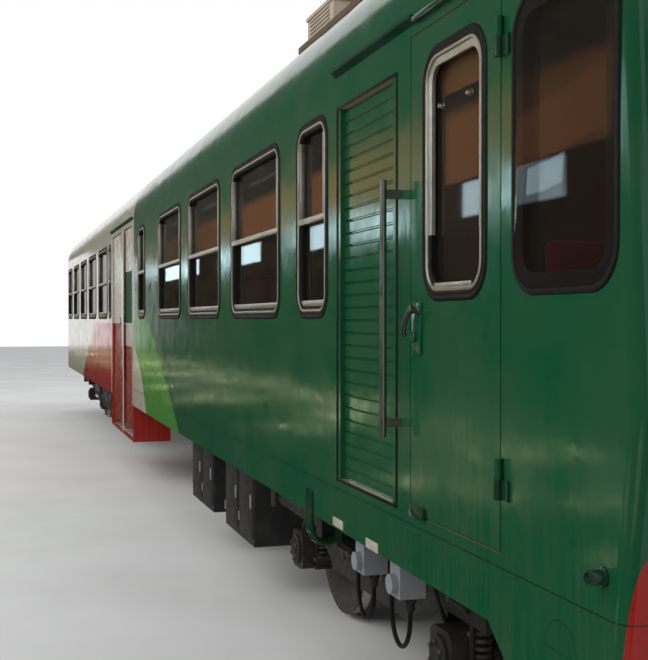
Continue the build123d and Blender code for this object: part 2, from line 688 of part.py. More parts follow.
# Bogies and wheelsets
bogie_half = WHEELBASE / 2 + BEAM_END
for end, way in ENDS:
    centre_x = way * bogie_x
    with BuildPart() as bogie_frame:
        beam_half = [(bogie_half, BEAM_LOW), (bogie_half, BEAM_TOP),
                     (bogie_half - BEAM_SHOULDER_IN, BEAM_SHOULDER),
                     (WELL_HALF[0], BEAM_SADDLE)]
        beam_foot = [(WELL_HALF[1], WELL_LOW), (bogie_half - BEAM_FOOT_IN, BEAM_LOW)]
        outline = ([(-x, z) for x, z in reversed(beam_foot)] + beam_foot
                   + beam_half + [(-x, z) for x, z in reversed(beam_half)])
        for side in SIDES:
            beam_plane = Plane(origin=(centre_x, side * BEAM_CENTRE + BEAM_THICK / 2, rail_top),
                               x_dir=(1, 0, 0), z_dir=(0, -1, 0))
            with BuildSketch(beam_plane):
                Polygon(*outline, align=None)
            extrude(amount=BEAM_THICK)
            for axle in SIDES:
                for guide in SIDES:
                    guide_x = centre_x + axle * WHEELBASE / 2 + guide * (AXLEBOX / 2 + SEAT_GAP)
                    block((guide_x, guide_x + guide * GUIDE_THICK),
                          (side * BEAM_CENTRE - GUIDE_WIDTH / 2, side * BEAM_CENTRE + GUIDE_WIDTH / 2),
                          (up(GUIDE_LOW), up(BEAM_LOW)))
        for beam in SIDES:
            block((centre_x + beam * TRANSOM_BEAM[0], centre_x + beam * TRANSOM_BEAM[1]),
                  (-BEAM_CENTRE, BEAM_CENTRE), (up(TRANSOM_LOW), up(BEAM_SADDLE)))
        block((centre_x - TRANSOM_BEAM[0], centre_x + TRANSOM_BEAM[0]), (-PIVOT_BLOCK, PIVOT_BLOCK),
              (up(TRANSOM_LOW), up(PIVOT_TOP)))
        with BuildSketch(Plane.XY.offset(up(TRANSOM_LOW))):
            with Locations((centre_x, 0)):
                Circle(PIVOT_RADIUS + SEAT_GAP)
        extrude(amount=PIVOT_TOP - TRANSOM_LOW, mode=Mode.SUBTRACT)
    save(bogie_frame, f"bogie_frame_{end}")

    with BuildPart() as axle_boxes:
        for side in SIDES:
            for axle in SIDES:
                box_x = centre_x + axle * WHEELBASE / 2
                box_plane = Plane(origin=(box_x, side * AXLEBOX_IN, axle_height),
                                  x_dir=(1, 0, 0), z_dir=(0, side, 0))
                with BuildSketch(box_plane):
                    stepped(-AXLEBOX / 2, AXLEBOX / 2, -AXLEBOX / 2, AXLEBOX / 2, AXLEBOX_CORNER)
                extrude(amount=AXLEBOX_OUT - AXLEBOX_IN)
                with BuildSketch(box_plane):
                    Circle(JOURNAL_RADIUS + SEAT_GAP)
                extrude(amount=JOURNAL_END - AXLEBOX_IN + SEAT_GAP, mode=Mode.SUBTRACT)
    save(axle_boxes, f"axle_boxes_{end}")

    with BuildPart() as springs:
        with BuildSketch(Plane.XY.offset(up(BEAM_SADDLE))):
            with Locations(*[(centre_x, side * BEAM_CENTRE) for side in SIDES]):
                Circle(SPRING_RADIUS)
        extrude(amount=SOLE_LOW - SEAT_GAP - BEAM_SADDLE)
    save(springs, f"bolster_springs_{end}")

    with BuildPart() as brake_gear:
        for axle in SIDES:
            wheel_x = centre_x + axle * WHEELBASE / 2
            shoe_in = WHEEL_RADIUS + SHOE_GAP
            shoe_out = shoe_in + SHOE_THICK
            turn = radians(SHOE_TURN)
            for side in SIDES:
                with BuildSketch(Plane.XZ.offset(-side * SHOE_SPAN[1])):
                    with BuildLine():
                        ends = [(wheel_x - axle * r * cos(turn), axle_height + s * r * sin(turn))
                                for r, s in ((shoe_in, -1), (shoe_in, 1), (shoe_out, 1), (shoe_out, -1))]
                        ThreePointArc(ends[0], (wheel_x - axle * shoe_in, axle_height), ends[1])
                        Line(ends[1], ends[2])
                        ThreePointArc(ends[2], (wheel_x - axle * shoe_out, axle_height), ends[3])
                        Line(ends[3], ends[0])
                    make_face()
                extrude(amount=side * (SHOE_SPAN[1] - SHOE_SPAN[0]))
            beam_x = wheel_x - axle * (shoe_out - BEAM_IN_SHOE)
            block((beam_x, beam_x - axle * BRAKE_BEAM), (-SHOE_SPAN[1], SHOE_SPAN[1]),
                  (axle_height - BRAKE_BEAM / 2, axle_height + BRAKE_BEAM / 2))
            rod_end = centre_x + axle * (TRANSOM_BEAM[1] + SEAT_GAP)
            block((beam_x - axle * BRAKE_BEAM, rod_end), (-BRAKE_ROD / 2, BRAKE_ROD / 2),
                  (up(TRANSOM_LOW), up(TRANSOM_LOW) + BRAKE_ROD))
    save(brake_gear, f"brake_gear_{end}")

    for number, axle in ((1, 1), (2, -1)):
        axle_x = centre_x + axle * WHEELBASE / 2
        back = WHEEL_BACKS / 2
        tread = back + FLANGE_WIDTH
        face = back + WHEEL_WIDTH
        flange = WHEEL_RADIUS + FLANGE_DEPTH
        rim = WHEEL_RADIUS - RIM_DEPTH
        half = [(0, JOURNAL_END), (JOURNAL_RADIUS, JOURNAL_END), (JOURNAL_RADIUS, back + WEB_THICK),
                (rim, face), (WHEEL_RADIUS, face), (WHEEL_RADIUS, tread),
                (flange, back + FLANGE_TIP), (AXLE_RADIUS, back)]
        with BuildPart() as wheelset:
            with BuildSketch(Plane.XY.offset(axle_height)):
                points = [(axle_x + radius, place) for radius, place in half]
                points += [(axle_x + radius, -place) for radius, place in reversed(half)]
                Polygon(*points, align=None)
            revolve(axis=Axis((axle_x, 0, axle_height), (0, 1, 0)))
        save(wheelset, f"wheelset_{end}_{number}")

# Window frames and panes of both sides
with BuildPart() as window_frames:
    for window in side_windows:
        window_ring(*window, FRAME_DEPTH, True)
    window_ring(*cab_pane, FRAME_DEPTH, False)
    mirror(about=Plane.XZ)
save(window_frames, "window_frames")

with BuildPart() as window_glass:
    for window in side_windows + [cab_pane]:
        window_pane(*window, FRAME_DEPTH)
    mirror(about=Plane.XZ)
save(window_glass, "window_glass")

# Cab doors: a leaf with a sash window, external hinges and a lever handle
sash_depth = DOOR_THICK - SEAT_GAP - GLASS_THICK
with BuildPart() as cab_door:
    block((along(CAB_DOOR[1]), along(CAB_DOOR[0])), (-half_width, -half_width + DOOR_THICK),
          (up(CAB_DOOR_LOW), up(CAB_DOOR_HIGH)))
    window_hole(*cab_hole)
    for low, high in HINGE_HEIGHTS:
        hinge_half(cab_hinge, False, (low + high) / 2 + SEAT_GAP, high)
save_both(cab_door, "cab_door_right", "cab_door_left")

with BuildPart() as cab_door_sash:
    window_ring(*cab_hole, sash_depth, False)
save_both(cab_door_sash, "cab_door_sash_right", "cab_door_sash_left")

with BuildPart() as cab_door_glass:
    window_pane(*cab_hole, sash_depth)
save_both(cab_door_glass, "cab_door_glass_right", "cab_door_glass_left")

with BuildPart() as cab_door_handle:
    block((along(HANDLE[1]), along(HANDLE[0])), (-half_width - HANDLE_PLATE, -half_width),
          (up(HANDLE_LOW), up(HANDLE_HIGH)))
    with BuildSketch(Plane.XZ.offset(half_width)) as boss:
        with Locations((along(LEVER_TOP[0]), up(LEVER_TOP[1]))):
            Circle(LEVER_RADIUS)
    extrude(boss.sketch, amount=LEVER_OUT)
    with BuildSketch(Plane.XZ.offset(half_width + LEVER_OUT - 2 * LEVER_RADIUS)) as lever:
        Polygon(
            (along(LEVER_TOP[0]) + LEVER_RADIUS, up(LEVER_TOP[1])),
            (along(LEVER_TOP[0]), up(LEVER_TOP[1]) + LEVER_RADIUS),
            (along(LEVER_TIP[0]), up(LEVER_TIP[1])),
            (along(LEVER_TIP[0]) + LEVER_RADIUS, up(LEVER_TIP[1]) - LEVER_RADIUS), align=None,
        )
    extrude(lever.sketch, amount=2 * LEVER_RADIUS)
save_both(cab_door_handle, "cab_door_handle_right", "cab_door_handle_left")

with BuildPart() as door_hinges:
    for low, high in HINGE_HEIGHTS:
        hinge_half(cab_hinge, True, low, (low + high) / 2)
    mirror(about=Plane.XZ)
save(door_hinges, "door_hinges")

# Entrance leaves, whose posts stand on the step and reach up to the lintel
for leaf, near, far in leaves:
    post_x = along(near) - LEAF_POST if leaf == "front" else along(far) + LEAF_POST
    free_x = along(far) if leaf == "front" else along(near)
    handle_x = free_x + LEAF_HANDLE_IN if leaf == "front" else free_x - LEAF_HANDLE_IN
    with BuildPart() as entrance_leaf:
        block((post_x, free_x), (-leaf_y - LEAF_THICK / 2, -leaf_y + LEAF_THICK / 2),
              (up(LEAF_LOW), up(LEAF_HIGH)))
        post_low = STEP_BOTTOM + STEP_PLATE + SEAT_GAP
        with BuildSketch(Plane.XY.offset(up(post_low))):
            with Locations((post_x, -leaf_y)):
                Circle(LEAF_POST)
        extrude(amount=LEAF_HIGH + DOOR_GAP - SEAT_GAP - post_low)
        block((handle_x - LEAF_HANDLE_SIZE / 2, handle_x + LEAF_HANDLE_SIZE / 2),
              (-leaf_y, -leaf_y - LEAF_THICK / 2 - LEAF_HANDLE_SIZE),
              (up(LEAF_HANDLE[0]), up(LEAF_HANDLE[1])))
    save_both(entrance_leaf, f"entrance_leaf_right_{leaf}", f"entrance_leaf_left_{leaf}")

# Gangway door in the rear wall, turning on a post like the leaves, and its pane
door_x = -half_length + END_WALL - DOOR_THICK / 2 - LEAF_SET_IN
pane_y = (-GANGWAY_WIDTH / 2 + PANE_STILE, GANGWAY_WIDTH / 2 - PANE_STILE)
with BuildPart() as gangway_door_rear:
    post_y = GANGWAY_WIDTH / 2 - GANGWAY_POST
    block((door_x - DOOR_THICK / 2, door_x + DOOR_THICK / 2), (-GANGWAY_WIDTH / 2, post_y),
          (up(FLOOR_TOP) + DOOR_GAP, up(GANGWAY_HIGH)))
    with BuildSketch(Plane.XY.offset(up(FLOOR_TOP) + SEAT_GAP)):
        with Locations((door_x, post_y)):
            Circle(GANGWAY_POST)
    extrude(amount=GANGWAY_HIGH - FLOOR_TOP + DOOR_GAP - 2 * SEAT_GAP)
    with BuildSketch(Plane.YZ.offset(-half_length)):
        stepped(*pane_y, up(GANGWAY_PANE[0]), up(GANGWAY_PANE[1]), PANE_CORNER)
    extrude(amount=END_WALL, mode=Mode.SUBTRACT)
save(gangway_door_rear, "gangway_door_rear")

with BuildPart() as gangway_glass_rear:
    with BuildSketch(Plane.YZ.offset(door_x - GLASS_THICK / 2)):
        stepped(pane_y[0] + SEAT_GAP, pane_y[1] - SEAT_GAP, up(GANGWAY_PANE[0]) + SEAT_GAP,
                up(GANGWAY_PANE[1]) - SEAT_GAP, PANE_CORNER - SEAT_GAP)
    extrude(amount=GLASS_THICK)
save(gangway_glass_rear, "gangway_glass_rear")

# Folded bellows round the gangway
with BuildPart() as gangway_bellows:
    fold = BELLOWS_LENGTH / FOLD_COUNT
    half_gangway = GANGWAY_WIDTH / 2 + DOOR_GAP
    for turn in range(FOLD_COUNT):
        for start, grow in ((0, FOLD_DEPTH), (fold / 2, 0)):
            outside = half_gangway + BELLOWS_WIDTH - FOLD_DEPTH + grow
            fold_top = up(GANGWAY_HIGH) + BELLOWS_WIDTH - FOLD_DEPTH + grow
            with BuildSketch(Plane.YZ.offset(-half_length - turn * fold - start)):
                stepped(-outside, outside, up(FLOOR_TOP), fold_top, BELLOWS_CORNER)
            extrude(amount=-fold / 2)
    block((-half_length - BELLOWS_LENGTH, -half_length), (-half_gangway, half_gangway),
          (up(FLOOR_TOP), up(GANGWAY_HIGH) + DOOR_GAP), mode=Mode.SUBTRACT)
save(gangway_bellows, "gangway_bellows")

# Roller shutters of the luggage space: interlocking slats between two guides
with BuildPart() as luggage_shutters:
    slat_count = round((SHUTTER_HIGH - SHUTTER_LOW) / SLAT_PITCH)
    pitch = (SHUTTER_HIGH - SHUTTER_LOW - 2 * SEAT_GAP) / slat_count
    slat_face = -half_width + SHUTTER_SET_IN
    slat_back = slat_face + SLAT_THICK
    profile = [(slat_back, up(SHUTTER_LOW) + SEAT_GAP)]
    for slat in range(slat_count):
        slat_z = up(SHUTTER_LOW) + SEAT_GAP + slat * pitch
        profile += [(slat_face, slat_z), (slat_face, slat_z + pitch - 2 * SLAT_GROOVE),
                    (slat_face + SLAT_GROOVE, slat_z + pitch - SLAT_GROOVE),
                    (slat_face + SLAT_GROOVE, slat_z + pitch)]
    profile.append((slat_back, up(SHUTTER_HIGH) - SEAT_GAP))
    with BuildSketch(Plane.YZ.offset(along(SHUTTER[1]) + SEAT_GAP)):
        Polygon(*profile, align=None)
    extrude(amount=SHUTTER[1] - SHUTTER[0] - 2 * SEAT_GAP)
    for guide_x in (along(SHUTTER[1]) + SEAT_GAP, along(SHUTTER[0]) - SEAT_GAP - SHUTTER_GUIDE):
        block((guide_x, guide_x + SHUTTER_GUIDE), (-half_width, slat_back),
              (up(SHUTTER_LOW) + SEAT_GAP, up(SHUTTER_HIGH) - SEAT_GAP))
    mirror(about=Plane.XZ)
save(luggage_shutters, "luggage_shutters")

# Handrails on brackets
with BuildPart() as handrails:
    for side in SIDES:
        rail_y = side * (half_width + HANDRAIL_OFFSET)
        with BuildSketch(Plane.XY.offset(up(HANDRAIL[0]))):
            with Locations((along(HANDRAIL_BACK), rail_y)):
                Circle(HANDRAIL_RADIUS)
        extrude(amount=HANDRAIL[1] - HANDRAIL[0])
        for foot in (HANDRAIL[0] + HANDRAIL_BRACKET, HANDRAIL[1] - 2 * HANDRAIL_BRACKET):
            block((along(HANDRAIL_BACK) - HANDRAIL_RADIUS / 2, along(HANDRAIL_BACK) + HANDRAIL_RADIUS / 2),
                  (side * half_width, rail_y), (up(foot), up(foot) + HANDRAIL_BRACKET))
save(handrails, "handrails")

# Connector boxes below the shutters, each with a round cap
with BuildPart() as connector_boxes:
    box_y = half_width - CONNECTOR_SET_IN
    for side in SIDES:
        for back in CONNECTORS:
            box_x = (along(back) - CONNECTOR_SIZE / 2, along(back) + CONNECTOR_SIZE / 2)
            block(box_x, (side * box_y, side * (box_y - CONNECTOR_SIZE)), (up(CONNECTOR_LOW), up(SKIRT)))
            block(box_x, (side * sole_in, side * sole_out), (up(SKIRT - CONNECTOR_CAP), up(SOLE_LOW)))
            with BuildSketch(Plane.XZ.offset(-side * box_y)):
                with Locations((along(back), up(CONNECTOR_LOW) + CONNECTOR_SIZE / 2)):
                    Circle(CONNECTOR_CAP)
            extrude(amount=-side * CONNECTOR_SET_IN / 2)
save(connector_boxes, "connector_boxes")

# Partitions across the coach, each with a doorway on the centre line
with BuildPart() as partitions:
    for back in partition_places:
        block((along(back) - PARTITION_THICK, along(back)), (-wall_inside, wall_inside),
              (up(FLOOR_TOP), up(SIDE_TOP)))
        block((along(back) - PARTITION_THICK, along(back)), (-PASSAGE / 2, PASSAGE / 2),
              (up(FLOOR_TOP), up(FLOOR_TOP) + PASSAGE_HIGH), mode=Mode.SUBTRACT)
save(partitions, "partitions")

# Saloon seats: facing pairs of benches in each bay, and one bench at the rear
first_window_middle = FIRST_WINDOW + (bay - WINDOW_PILLAR) / 2
rear_window_middle = rear_window + (bay - WINDOW_PILLAR) / 2
bay_middles = [first_window_middle + n * bay for n in range(FRONT_BAYS + 1)]
bay_middles += [rear_window_middle + n * bay for n in range(REAR_BAYS)]
bench_space = bay / 2 - SEAT_BACK_SPACE
rows = [(middle + facing * bench_space, facing) for middle in bay_middles for facing in SIDES]
rows = [(back, -facing) for back, facing in rows] + [(BODY_LENGTH - LAST_SEAT, 1)]
seat_outer = wall_inside - SEAT_SIDE_GAP
for name, seat_profile in (("seat_cushions", CUSHION_PROFILE), ("seat_backs", BACK_PROFILE)):
    with BuildPart() as seats:
        for back, facing in rows:
            with BuildSketch(Plane.XZ.offset(seat_outer - SEAT_WIDTH)):
                Polygon(*[(along(back) - facing * x, up(FLOOR_TOP) + z) for x, z in seat_profile],
                        align=None)
            extrude(amount=SEAT_WIDTH)
        mirror(about=Plane.XZ)
    save(seats, name)

# Racks over the seats
with BuildPart() as luggage_racks:
    for near, far in ((partition_places[1] + PARTITION_THICK, partition_places[2]),
                      (partition_places[3] + PARTITION_THICK, BODY_LENGTH - END_WALL)):
        for side in SIDES:
            block((along(far) + SEAT_GAP, along(near) - SEAT_GAP),
                  (side * (wall_inside - SEAT_GAP), side * (wall_inside - RACK_WIDTH)),
                  (up(FLOOR_TOP) + RACK_HEIGHT, up(FLOOR_TOP) + RACK_HEIGHT + RACK_THICK))
save(luggage_racks, "luggage_racks")

# Cab desk and seats
with BuildPart() as cab_desk:
    desk_outer = wall_inside - DESK_SIDE_GAP
    with BuildSketch(Plane.XZ.offset(desk_outer - DESK_WIDTH)):
        Polygon(*[(along(x), up(FLOOR_TOP) + z) for x, z in DESK_PROFILE], align=None)
    extrude(amount=DESK_WIDTH)
    mirror(about=Plane.XZ)
save(cab_desk, "cab_desk")

with BuildPart() as cab_seats:
    seat_x = along(CAB_SEAT_BACK)
    for side in SIDES:
        seat_y = side * (wall_inside - CAB_SEAT_IN)
        with BuildSketch(Plane.XY.offset(up(FLOOR_TOP))):
            with Locations((seat_x, seat_y)):
                Circle(CAB_SEAT_STEM)
        extrude(amount=CAB_SEAT_HIGH)
        cushion_z = up(FLOOR_TOP) + CAB_SEAT_HIGH
        seat_width = (seat_y - CAB_SEAT / 2, seat_y + CAB_SEAT / 2)
        block((seat_x - CAB_SEAT / 2, seat_x + CAB_SEAT / 2), seat_width, (cushion_z, cushion_z + CUSHION))
        block((seat_x - CAB_SEAT / 2, seat_x - CAB_SEAT / 2 + CUSHION), seat_width,
              (cushion_z, up(FLOOR_TOP) + CAB_SEAT_TOP))
save(cab_seats, "cab_seats")

# Cases and air tanks below the floor
with BuildPart() as equipment_cases:
    case_out = half_width - CASE_SET_IN
    for bogie, start, length, low, case_in in CASES:
        case_x = (bogie * (bogie_x - start), bogie * (bogie_x - start - length))
        for side in SIDES:
            block(case_x, (side * case_in, side * case_out), (up(low), up(SOLE_LOW)))
            block(case_x, (side * case_in, side * sole_in), (up(low), up(BEARER_LOW)))
save(equipment_cases, "equipment_cases")

with BuildPart() as air_tanks:
    with BuildSketch(Plane.YZ.offset(entrance_x[1] + TANK_BEFORE)):
        with Locations(*[(side * TANK_Y, up(BEARER_LOW) - TANK_RADIUS) for side in SIDES]):
            Circle(TANK_RADIUS)
    extrude(amount=TANK_LENGTH)
save(air_tanks, "air_tanks")

# Dampers along the body over the bogies, each between two brackets
with BuildPart() as body_dampers:
    damper_y = half_width - DAMPER_SET_IN
    for way in SIDES:
        for side in SIDES:
            for bracket in (0, DAMPER_LENGTH):
                bracket_x = way * (bogie_x - bracket)
                block((bracket_x - DAMPER_BRACKET / 2, bracket_x + DAMPER_BRACKET / 2),
                      (side * sole_in, side * sole_out), (up(DAMPER_LOW), up(SOLE_LOW)))
            with BuildSketch(Plane.YZ.offset(way * bogie_x)):
                with Locations((side * damper_y, up(DAMPER_HEIGHT))):
                    Circle(DAMPER_RADIUS)
            extrude(amount=-way * DAMPER_LENGTH)
save(body_dampers, "body_dampers")

# Roof boxes, each on a wider plinth
with BuildPart() as roof_units:
    for near, far, width, high, overhang in ROOF_BOXES:
        block((along(far), along(near)), (-width / 2, width / 2), (up(SIDE_TOP), up(crown) + high))
        block((along(far) - overhang, along(near) + overhang), (-width / 2 - overhang, width / 2 + overhang),
              (up(SIDE_TOP), up(crown) + PLINTH_HIGH))
    add(outer_form, mode=Mode.SUBTRACT)
save(roof_units, "roof_units")

# Lamps in the end walls
with BuildPart() as lamps:
    for way, radius in ((1, LAMP_RADIUS), (-1, TAIL_LAMP_RADIUS)):
        face_x = end_x if way > 0 else half_length
        with BuildSketch(Plane.YZ.offset(way * (face_x - LAMP_SET_IN))):
            with Locations(*[(side * (half_width - LAMP_SIDE), up(LAMP_HEIGHT)) for side in SIDES]):
                Circle(radius)
        extrude(amount=way * (LAMP_LENGTH if way > 0 else LAMP_SET_IN + LAMP_LENGTH / 2))
    add(outer_form, mode=Mode.SUBTRACT)
save(lamps, "lamps")
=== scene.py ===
"""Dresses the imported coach: livery, windows, seats, springs and small fittings.

Metres, in the frame's own axes: +X to the cab end, +Z up, the right side at -Y. Places along the
coach are given as the distance back from the cab corner, and heights are above the rail.
"""

from math import cos, pi, radians, sin

import bmesh
import bpy
from mathutils import Matrix, Vector


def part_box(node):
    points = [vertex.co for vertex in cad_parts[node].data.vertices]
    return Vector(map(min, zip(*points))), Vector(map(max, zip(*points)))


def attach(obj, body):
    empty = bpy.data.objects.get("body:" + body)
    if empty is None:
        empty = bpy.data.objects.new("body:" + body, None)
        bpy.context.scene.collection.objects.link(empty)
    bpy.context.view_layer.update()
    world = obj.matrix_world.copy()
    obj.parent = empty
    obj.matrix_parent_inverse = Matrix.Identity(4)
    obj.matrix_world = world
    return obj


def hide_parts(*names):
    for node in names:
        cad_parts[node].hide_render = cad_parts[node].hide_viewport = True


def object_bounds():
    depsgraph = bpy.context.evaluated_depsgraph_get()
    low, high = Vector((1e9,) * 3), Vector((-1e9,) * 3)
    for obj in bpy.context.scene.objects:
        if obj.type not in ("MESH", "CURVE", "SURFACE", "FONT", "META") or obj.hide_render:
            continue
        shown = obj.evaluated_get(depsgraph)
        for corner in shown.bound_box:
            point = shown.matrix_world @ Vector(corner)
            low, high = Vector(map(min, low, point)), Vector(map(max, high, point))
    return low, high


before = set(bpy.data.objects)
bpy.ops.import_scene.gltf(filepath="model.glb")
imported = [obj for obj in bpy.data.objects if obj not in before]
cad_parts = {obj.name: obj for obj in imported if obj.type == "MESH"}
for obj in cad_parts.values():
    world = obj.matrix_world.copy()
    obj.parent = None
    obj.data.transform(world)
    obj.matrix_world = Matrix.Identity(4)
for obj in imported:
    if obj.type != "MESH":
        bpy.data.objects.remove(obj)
cad_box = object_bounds()

# Places read from the frame
RAIL = 0.03
SIDES = (-1, 1)
SIDE_NAMES = (("right", -1), ("left", 1))
ENDS = (("front", 1), ("rear", -1))
HALF_WIDTH = -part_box("side_wall_right")[0].y
CORNER_X = -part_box("rear_wall")[0].x


def along(back):
    """X of a place given by its distance back from the cab corner."""
    return CORNER_X - back


def up(height):
    """Z of a height above the rail."""
    return RAIL + height


def side_of(low):
    """The side of the coach, -1 or 1, on which a box with this lowest corner lies."""
    return 1 if low.y > 0 else -1


def placed(name, data):
    """A new object in the scene."""
    made = bpy.data.objects.new(name, data)
    bpy.context.scene.collection.objects.link(made)
    return made


# Colours, as linear values
GREEN = (0.0025, 0.064, 0.024)
DARK_GREEN = (0.002, 0.030, 0.014)
LIGHT_GREEN = (0.050, 0.200, 0.030)
WHITE = (0.38, 0.35, 0.28)
RED = (0.30, 0.009, 0.007)
# The leaves' red: the body red darkened as painted shade, because the leaves are set back in the
# doorway
SHADED_LEAF_RED = (0.19, 0.006, 0.005)
BLACK_RUBBER = (0.007, 0.006, 0.006)
ALUMINIUM = (0.66, 0.62, 0.54)
STEEL = (0.45, 0.44, 0.42)
RAIL_METAL = (0.26, 0.26, 0.23)
# Underside colour: dark underframe paint, made darker still as painted shade for the space under the
# body
UNDERSIDE_BLACK_AND_SHADE = (0.008, 0.0075, 0.008)
RUST = (0.040, 0.020, 0.012)
DUST = (0.16, 0.13, 0.09)
ROOF_GREY = (0.33, 0.32, 0.27)
PALE_GREY = (0.42, 0.43, 0.41)
TAN = (0.42, 0.35, 0.26)
LINING = (0.30, 0.22, 0.13)
SEAT_BLUE = (0.030, 0.045, 0.085)
DESK_RED = (0.60, 0.030, 0.022)

# Livery edges: arcs, as the centre's distance back and height above the rail, and the radius
LIGHT_EDGE = (15.586, -12.495, 15.660)
WHITE_EDGE = (11.573, -0.446, 2.257)
RED_EDGE = (11.256, -14.522, 17.117)
UPPER_CHANGE = 10.87
RED_TOP = 1.97
LEAF_CHANGE = 12.0
LEAF_STEP = 0.29
LEAF_PANEL = (1.98, 2.65)
PAINT_EDGE = 0.003
CAB_RED_BACK = 0.2
CAB_RED_TOP = 1.451
CAB_RED_SLOPE = 1.2
CAB_RED_CURVE = 24.0
CAB_RED_RISE = 0.2
SEAM_HEIGHT = 1.16
ROOF_EDGE = 3.74
CAB_CROWN = 1.6
WALL_MIDDLE = 2.3

# Blank marks: a square as near, far, low and high, an arch as centre and radius, and their line
BLANK_SQUARE = (1.585, 1.735, 0.995, 1.125)
BLANK_ARCH = (0.43, 0.985, 0.10)
LINE = 0.003
LINE_EDGE = 0.001

PAINT_GLOSS = {"IOR": 1.45, "Specular_IOR_Level": 0.32}
WEAVE_PITCH = 0.004
PALE_CABINET = (17.0, 19.2)
TREAD = (0.735, 0.80)
AISLE_HALF = 0.25


def adds(operation, turned_round=False):
    """A method that adds a math node, on the value and the other operand."""
    def method(self, other=0.0):
        first, second = (other, self) if turned_round else (self, other)
        return self.tree.math(operation, first, second)
    return method


class Wire:
    """A value inside a node tree. Arithmetic on it adds math nodes, and | takes the larger value."""

    def __init__(self, tree, socket):
        self.tree, self.socket = tree, socket

    __add__, __sub__, __rsub__ = adds("ADD"), adds("SUBTRACT"), adds("SUBTRACT", turned_round=True)
    __mul__, __pow__ = adds("MULTIPLY"), adds("POWER")
    __or__, __abs__ = adds("MAXIMUM"), adds("ABSOLUTE")


class Tree:
    """A node tree, wired by short calls."""

    def __init__(self, nodes_of):
        nodes_of.use_nodes = True
        self.tree = nodes_of.node_tree

    def put(self, socket, value):
        if isinstance(value, Wire):
            self.tree.links.new(value.socket, socket)
        else:
            socket.default_value = (*value, 1) if socket.type == "RGBA" else value

    def node(self, kind, **inputs):
        made = self.tree.nodes.new(kind)
        for name, value in inputs.items():
            self.put(made.inputs[name.replace("_", " ")], value)
        return made

    def math(self, operation, first, second=0.0):
        made = self.tree.nodes.new("ShaderNodeMath")
        made.operation = operation
        self.put(made.inputs[0], first)
        self.put(made.inputs[1], second)
        return Wire(self, made.outputs[0])


class Paint(Tree):
    """A material, whose shader is one Principled BSDF."""

    def __init__(self, name):
        self.material = bpy.data.materials.new(name)
        super().__init__(self.material)
        self.shader = self.tree.nodes["Principled BSDF"]
        places = self.node("ShaderNodeTexCoord").outputs
        self.place = Wire(self, places["Object"])
        self.x, self.y, self.z = self.parts(self.place)
        self.nx, self.ny, self.nz = self.parts(Wire(self, places["Normal"]))
        self.back, self.height = CORNER_X - self.x, self.z - RAIL

    def parts(self, vector):
        split = self.node("ShaderNodeSeparateXYZ", Vector=vector)
        return [Wire(self, output) for output in split.outputs]

    def ramp(self, value, low, high, start=0.0, end=1.0):
        """The value's range from low to high, mapped onto start to end and clamped."""
        made = self.node("ShaderNodeMapRange", Value=value, From_Min=low, From_Max=high, To_Min=start,
                         To_Max=end)
        return Wire(self, made.outputs["Result"])

    def fall(self, value, low, high):
        """1 where the value is under low, 0 where it is over high."""
        return self.ramp(value, low, high, 1.0, 0.0)

    def below(self, value, limit, edge=PAINT_EDGE):
        """1 below the limit, 0 above it, with a soft edge."""
        return self.fall(value, limit - edge, limit + edge)

    def within(self, value, low, high, edge=PAINT_EDGE):
        """1 where the value lies between low and high, 0 outside, with a soft edge."""
        return self.ramp(value, low - edge, low + edge) * self.below(value, high, edge)

    def rectangle(self, near, far, low, high):
        """1 inside a rectangle on the side, 0 outside."""
        across = self.within(self.back, near, far, LINE_EDGE)
        return across * self.within(self.height, low, high, LINE_EDGE)

    def distance(self, centre_back, centre_height):
        """The distance from a centre, seen from the side."""
        run, rise = self.back - centre_back, self.height - centre_height
        return self.math("SQRT", run ** 2.0 + rise ** 2.0)

    def inside(self, arc):
        """1 inside an arc's circle, 0 outside."""
        return self.below(self.distance(*arc[:2]), arc[2])

    def mix(self, factor, first, second):
        made = self.tree.nodes.new("ShaderNodeMix")
        made.data_type = "RGBA"
        for index, value in ((0, factor), (6, first), (7, second)):
            self.put(made.inputs[index], value)
        return Wire(self, made.outputs[2])

    def noise(self, scale, detail, stretch=(1, 1, 1)):
        """Noise by place, from 0 to 1. Stretch multiplies the place along each axis."""
        mapping = self.node("ShaderNodeMapping", Vector=self.place, Scale=stretch)
        made = self.node("ShaderNodeTexNoise", Vector=Wire(self, mapping.outputs[0]), Scale=scale,
                         Detail=detail, Roughness=0.55)
        return Wire(self, made.outputs["Fac"])

    def blots(self, scale, detail, low, high, start=0.0, end=1.0, stretch=(1, 1, 1)):
        """Noise, with its range from low to high mapped onto start to end."""
        return self.ramp(self.noise(scale, detail, stretch), low, high, start, end)

    def cells(self, scale):
        made = self.node("ShaderNodeTexVoronoi", Vector=self.place, Scale=scale)
        return Wire(self, made.outputs["Distance"])

    def wave(self, value, pitch):
        """A wave from 0 to 1 that repeats every pitch along the value."""
        return self.ramp(self.math("SINE", value * (2 * pi / pitch)), -1, 1)

    def bump(self, strength, *heights):
        """Bump from pairs of a height value and its depth in metres."""
        total, *others = [value * depth for value, depth in heights]
        for term in others:
            total = total + term
        made = self.node("ShaderNodeBump", Height=total, Strength=strength, Distance=1.0)
        self.put(self.shader.inputs["Normal"], Wire(self, made.outputs[0]))

    def finish(self, colour, roughness, **others):
        """Set the shader. Roughness is a value, or a noise's scale and its lowest and highest value."""
        if isinstance(roughness, tuple):
            scale, *limits = roughness
            roughness = self.blots(scale, 4, 0.3, 0.8, *limits)
        for name, value in {"Base Color": colour, "Roughness": roughness, **others}.items():
            self.put(self.shader.inputs[name.replace("_", " ")], value)
        return self.material


def times(colour, factor, lift=0.0):
    """The colour made darker or lighter, its parts at most 1."""
    return tuple(min(1, factor * part + lift) for part in colour)


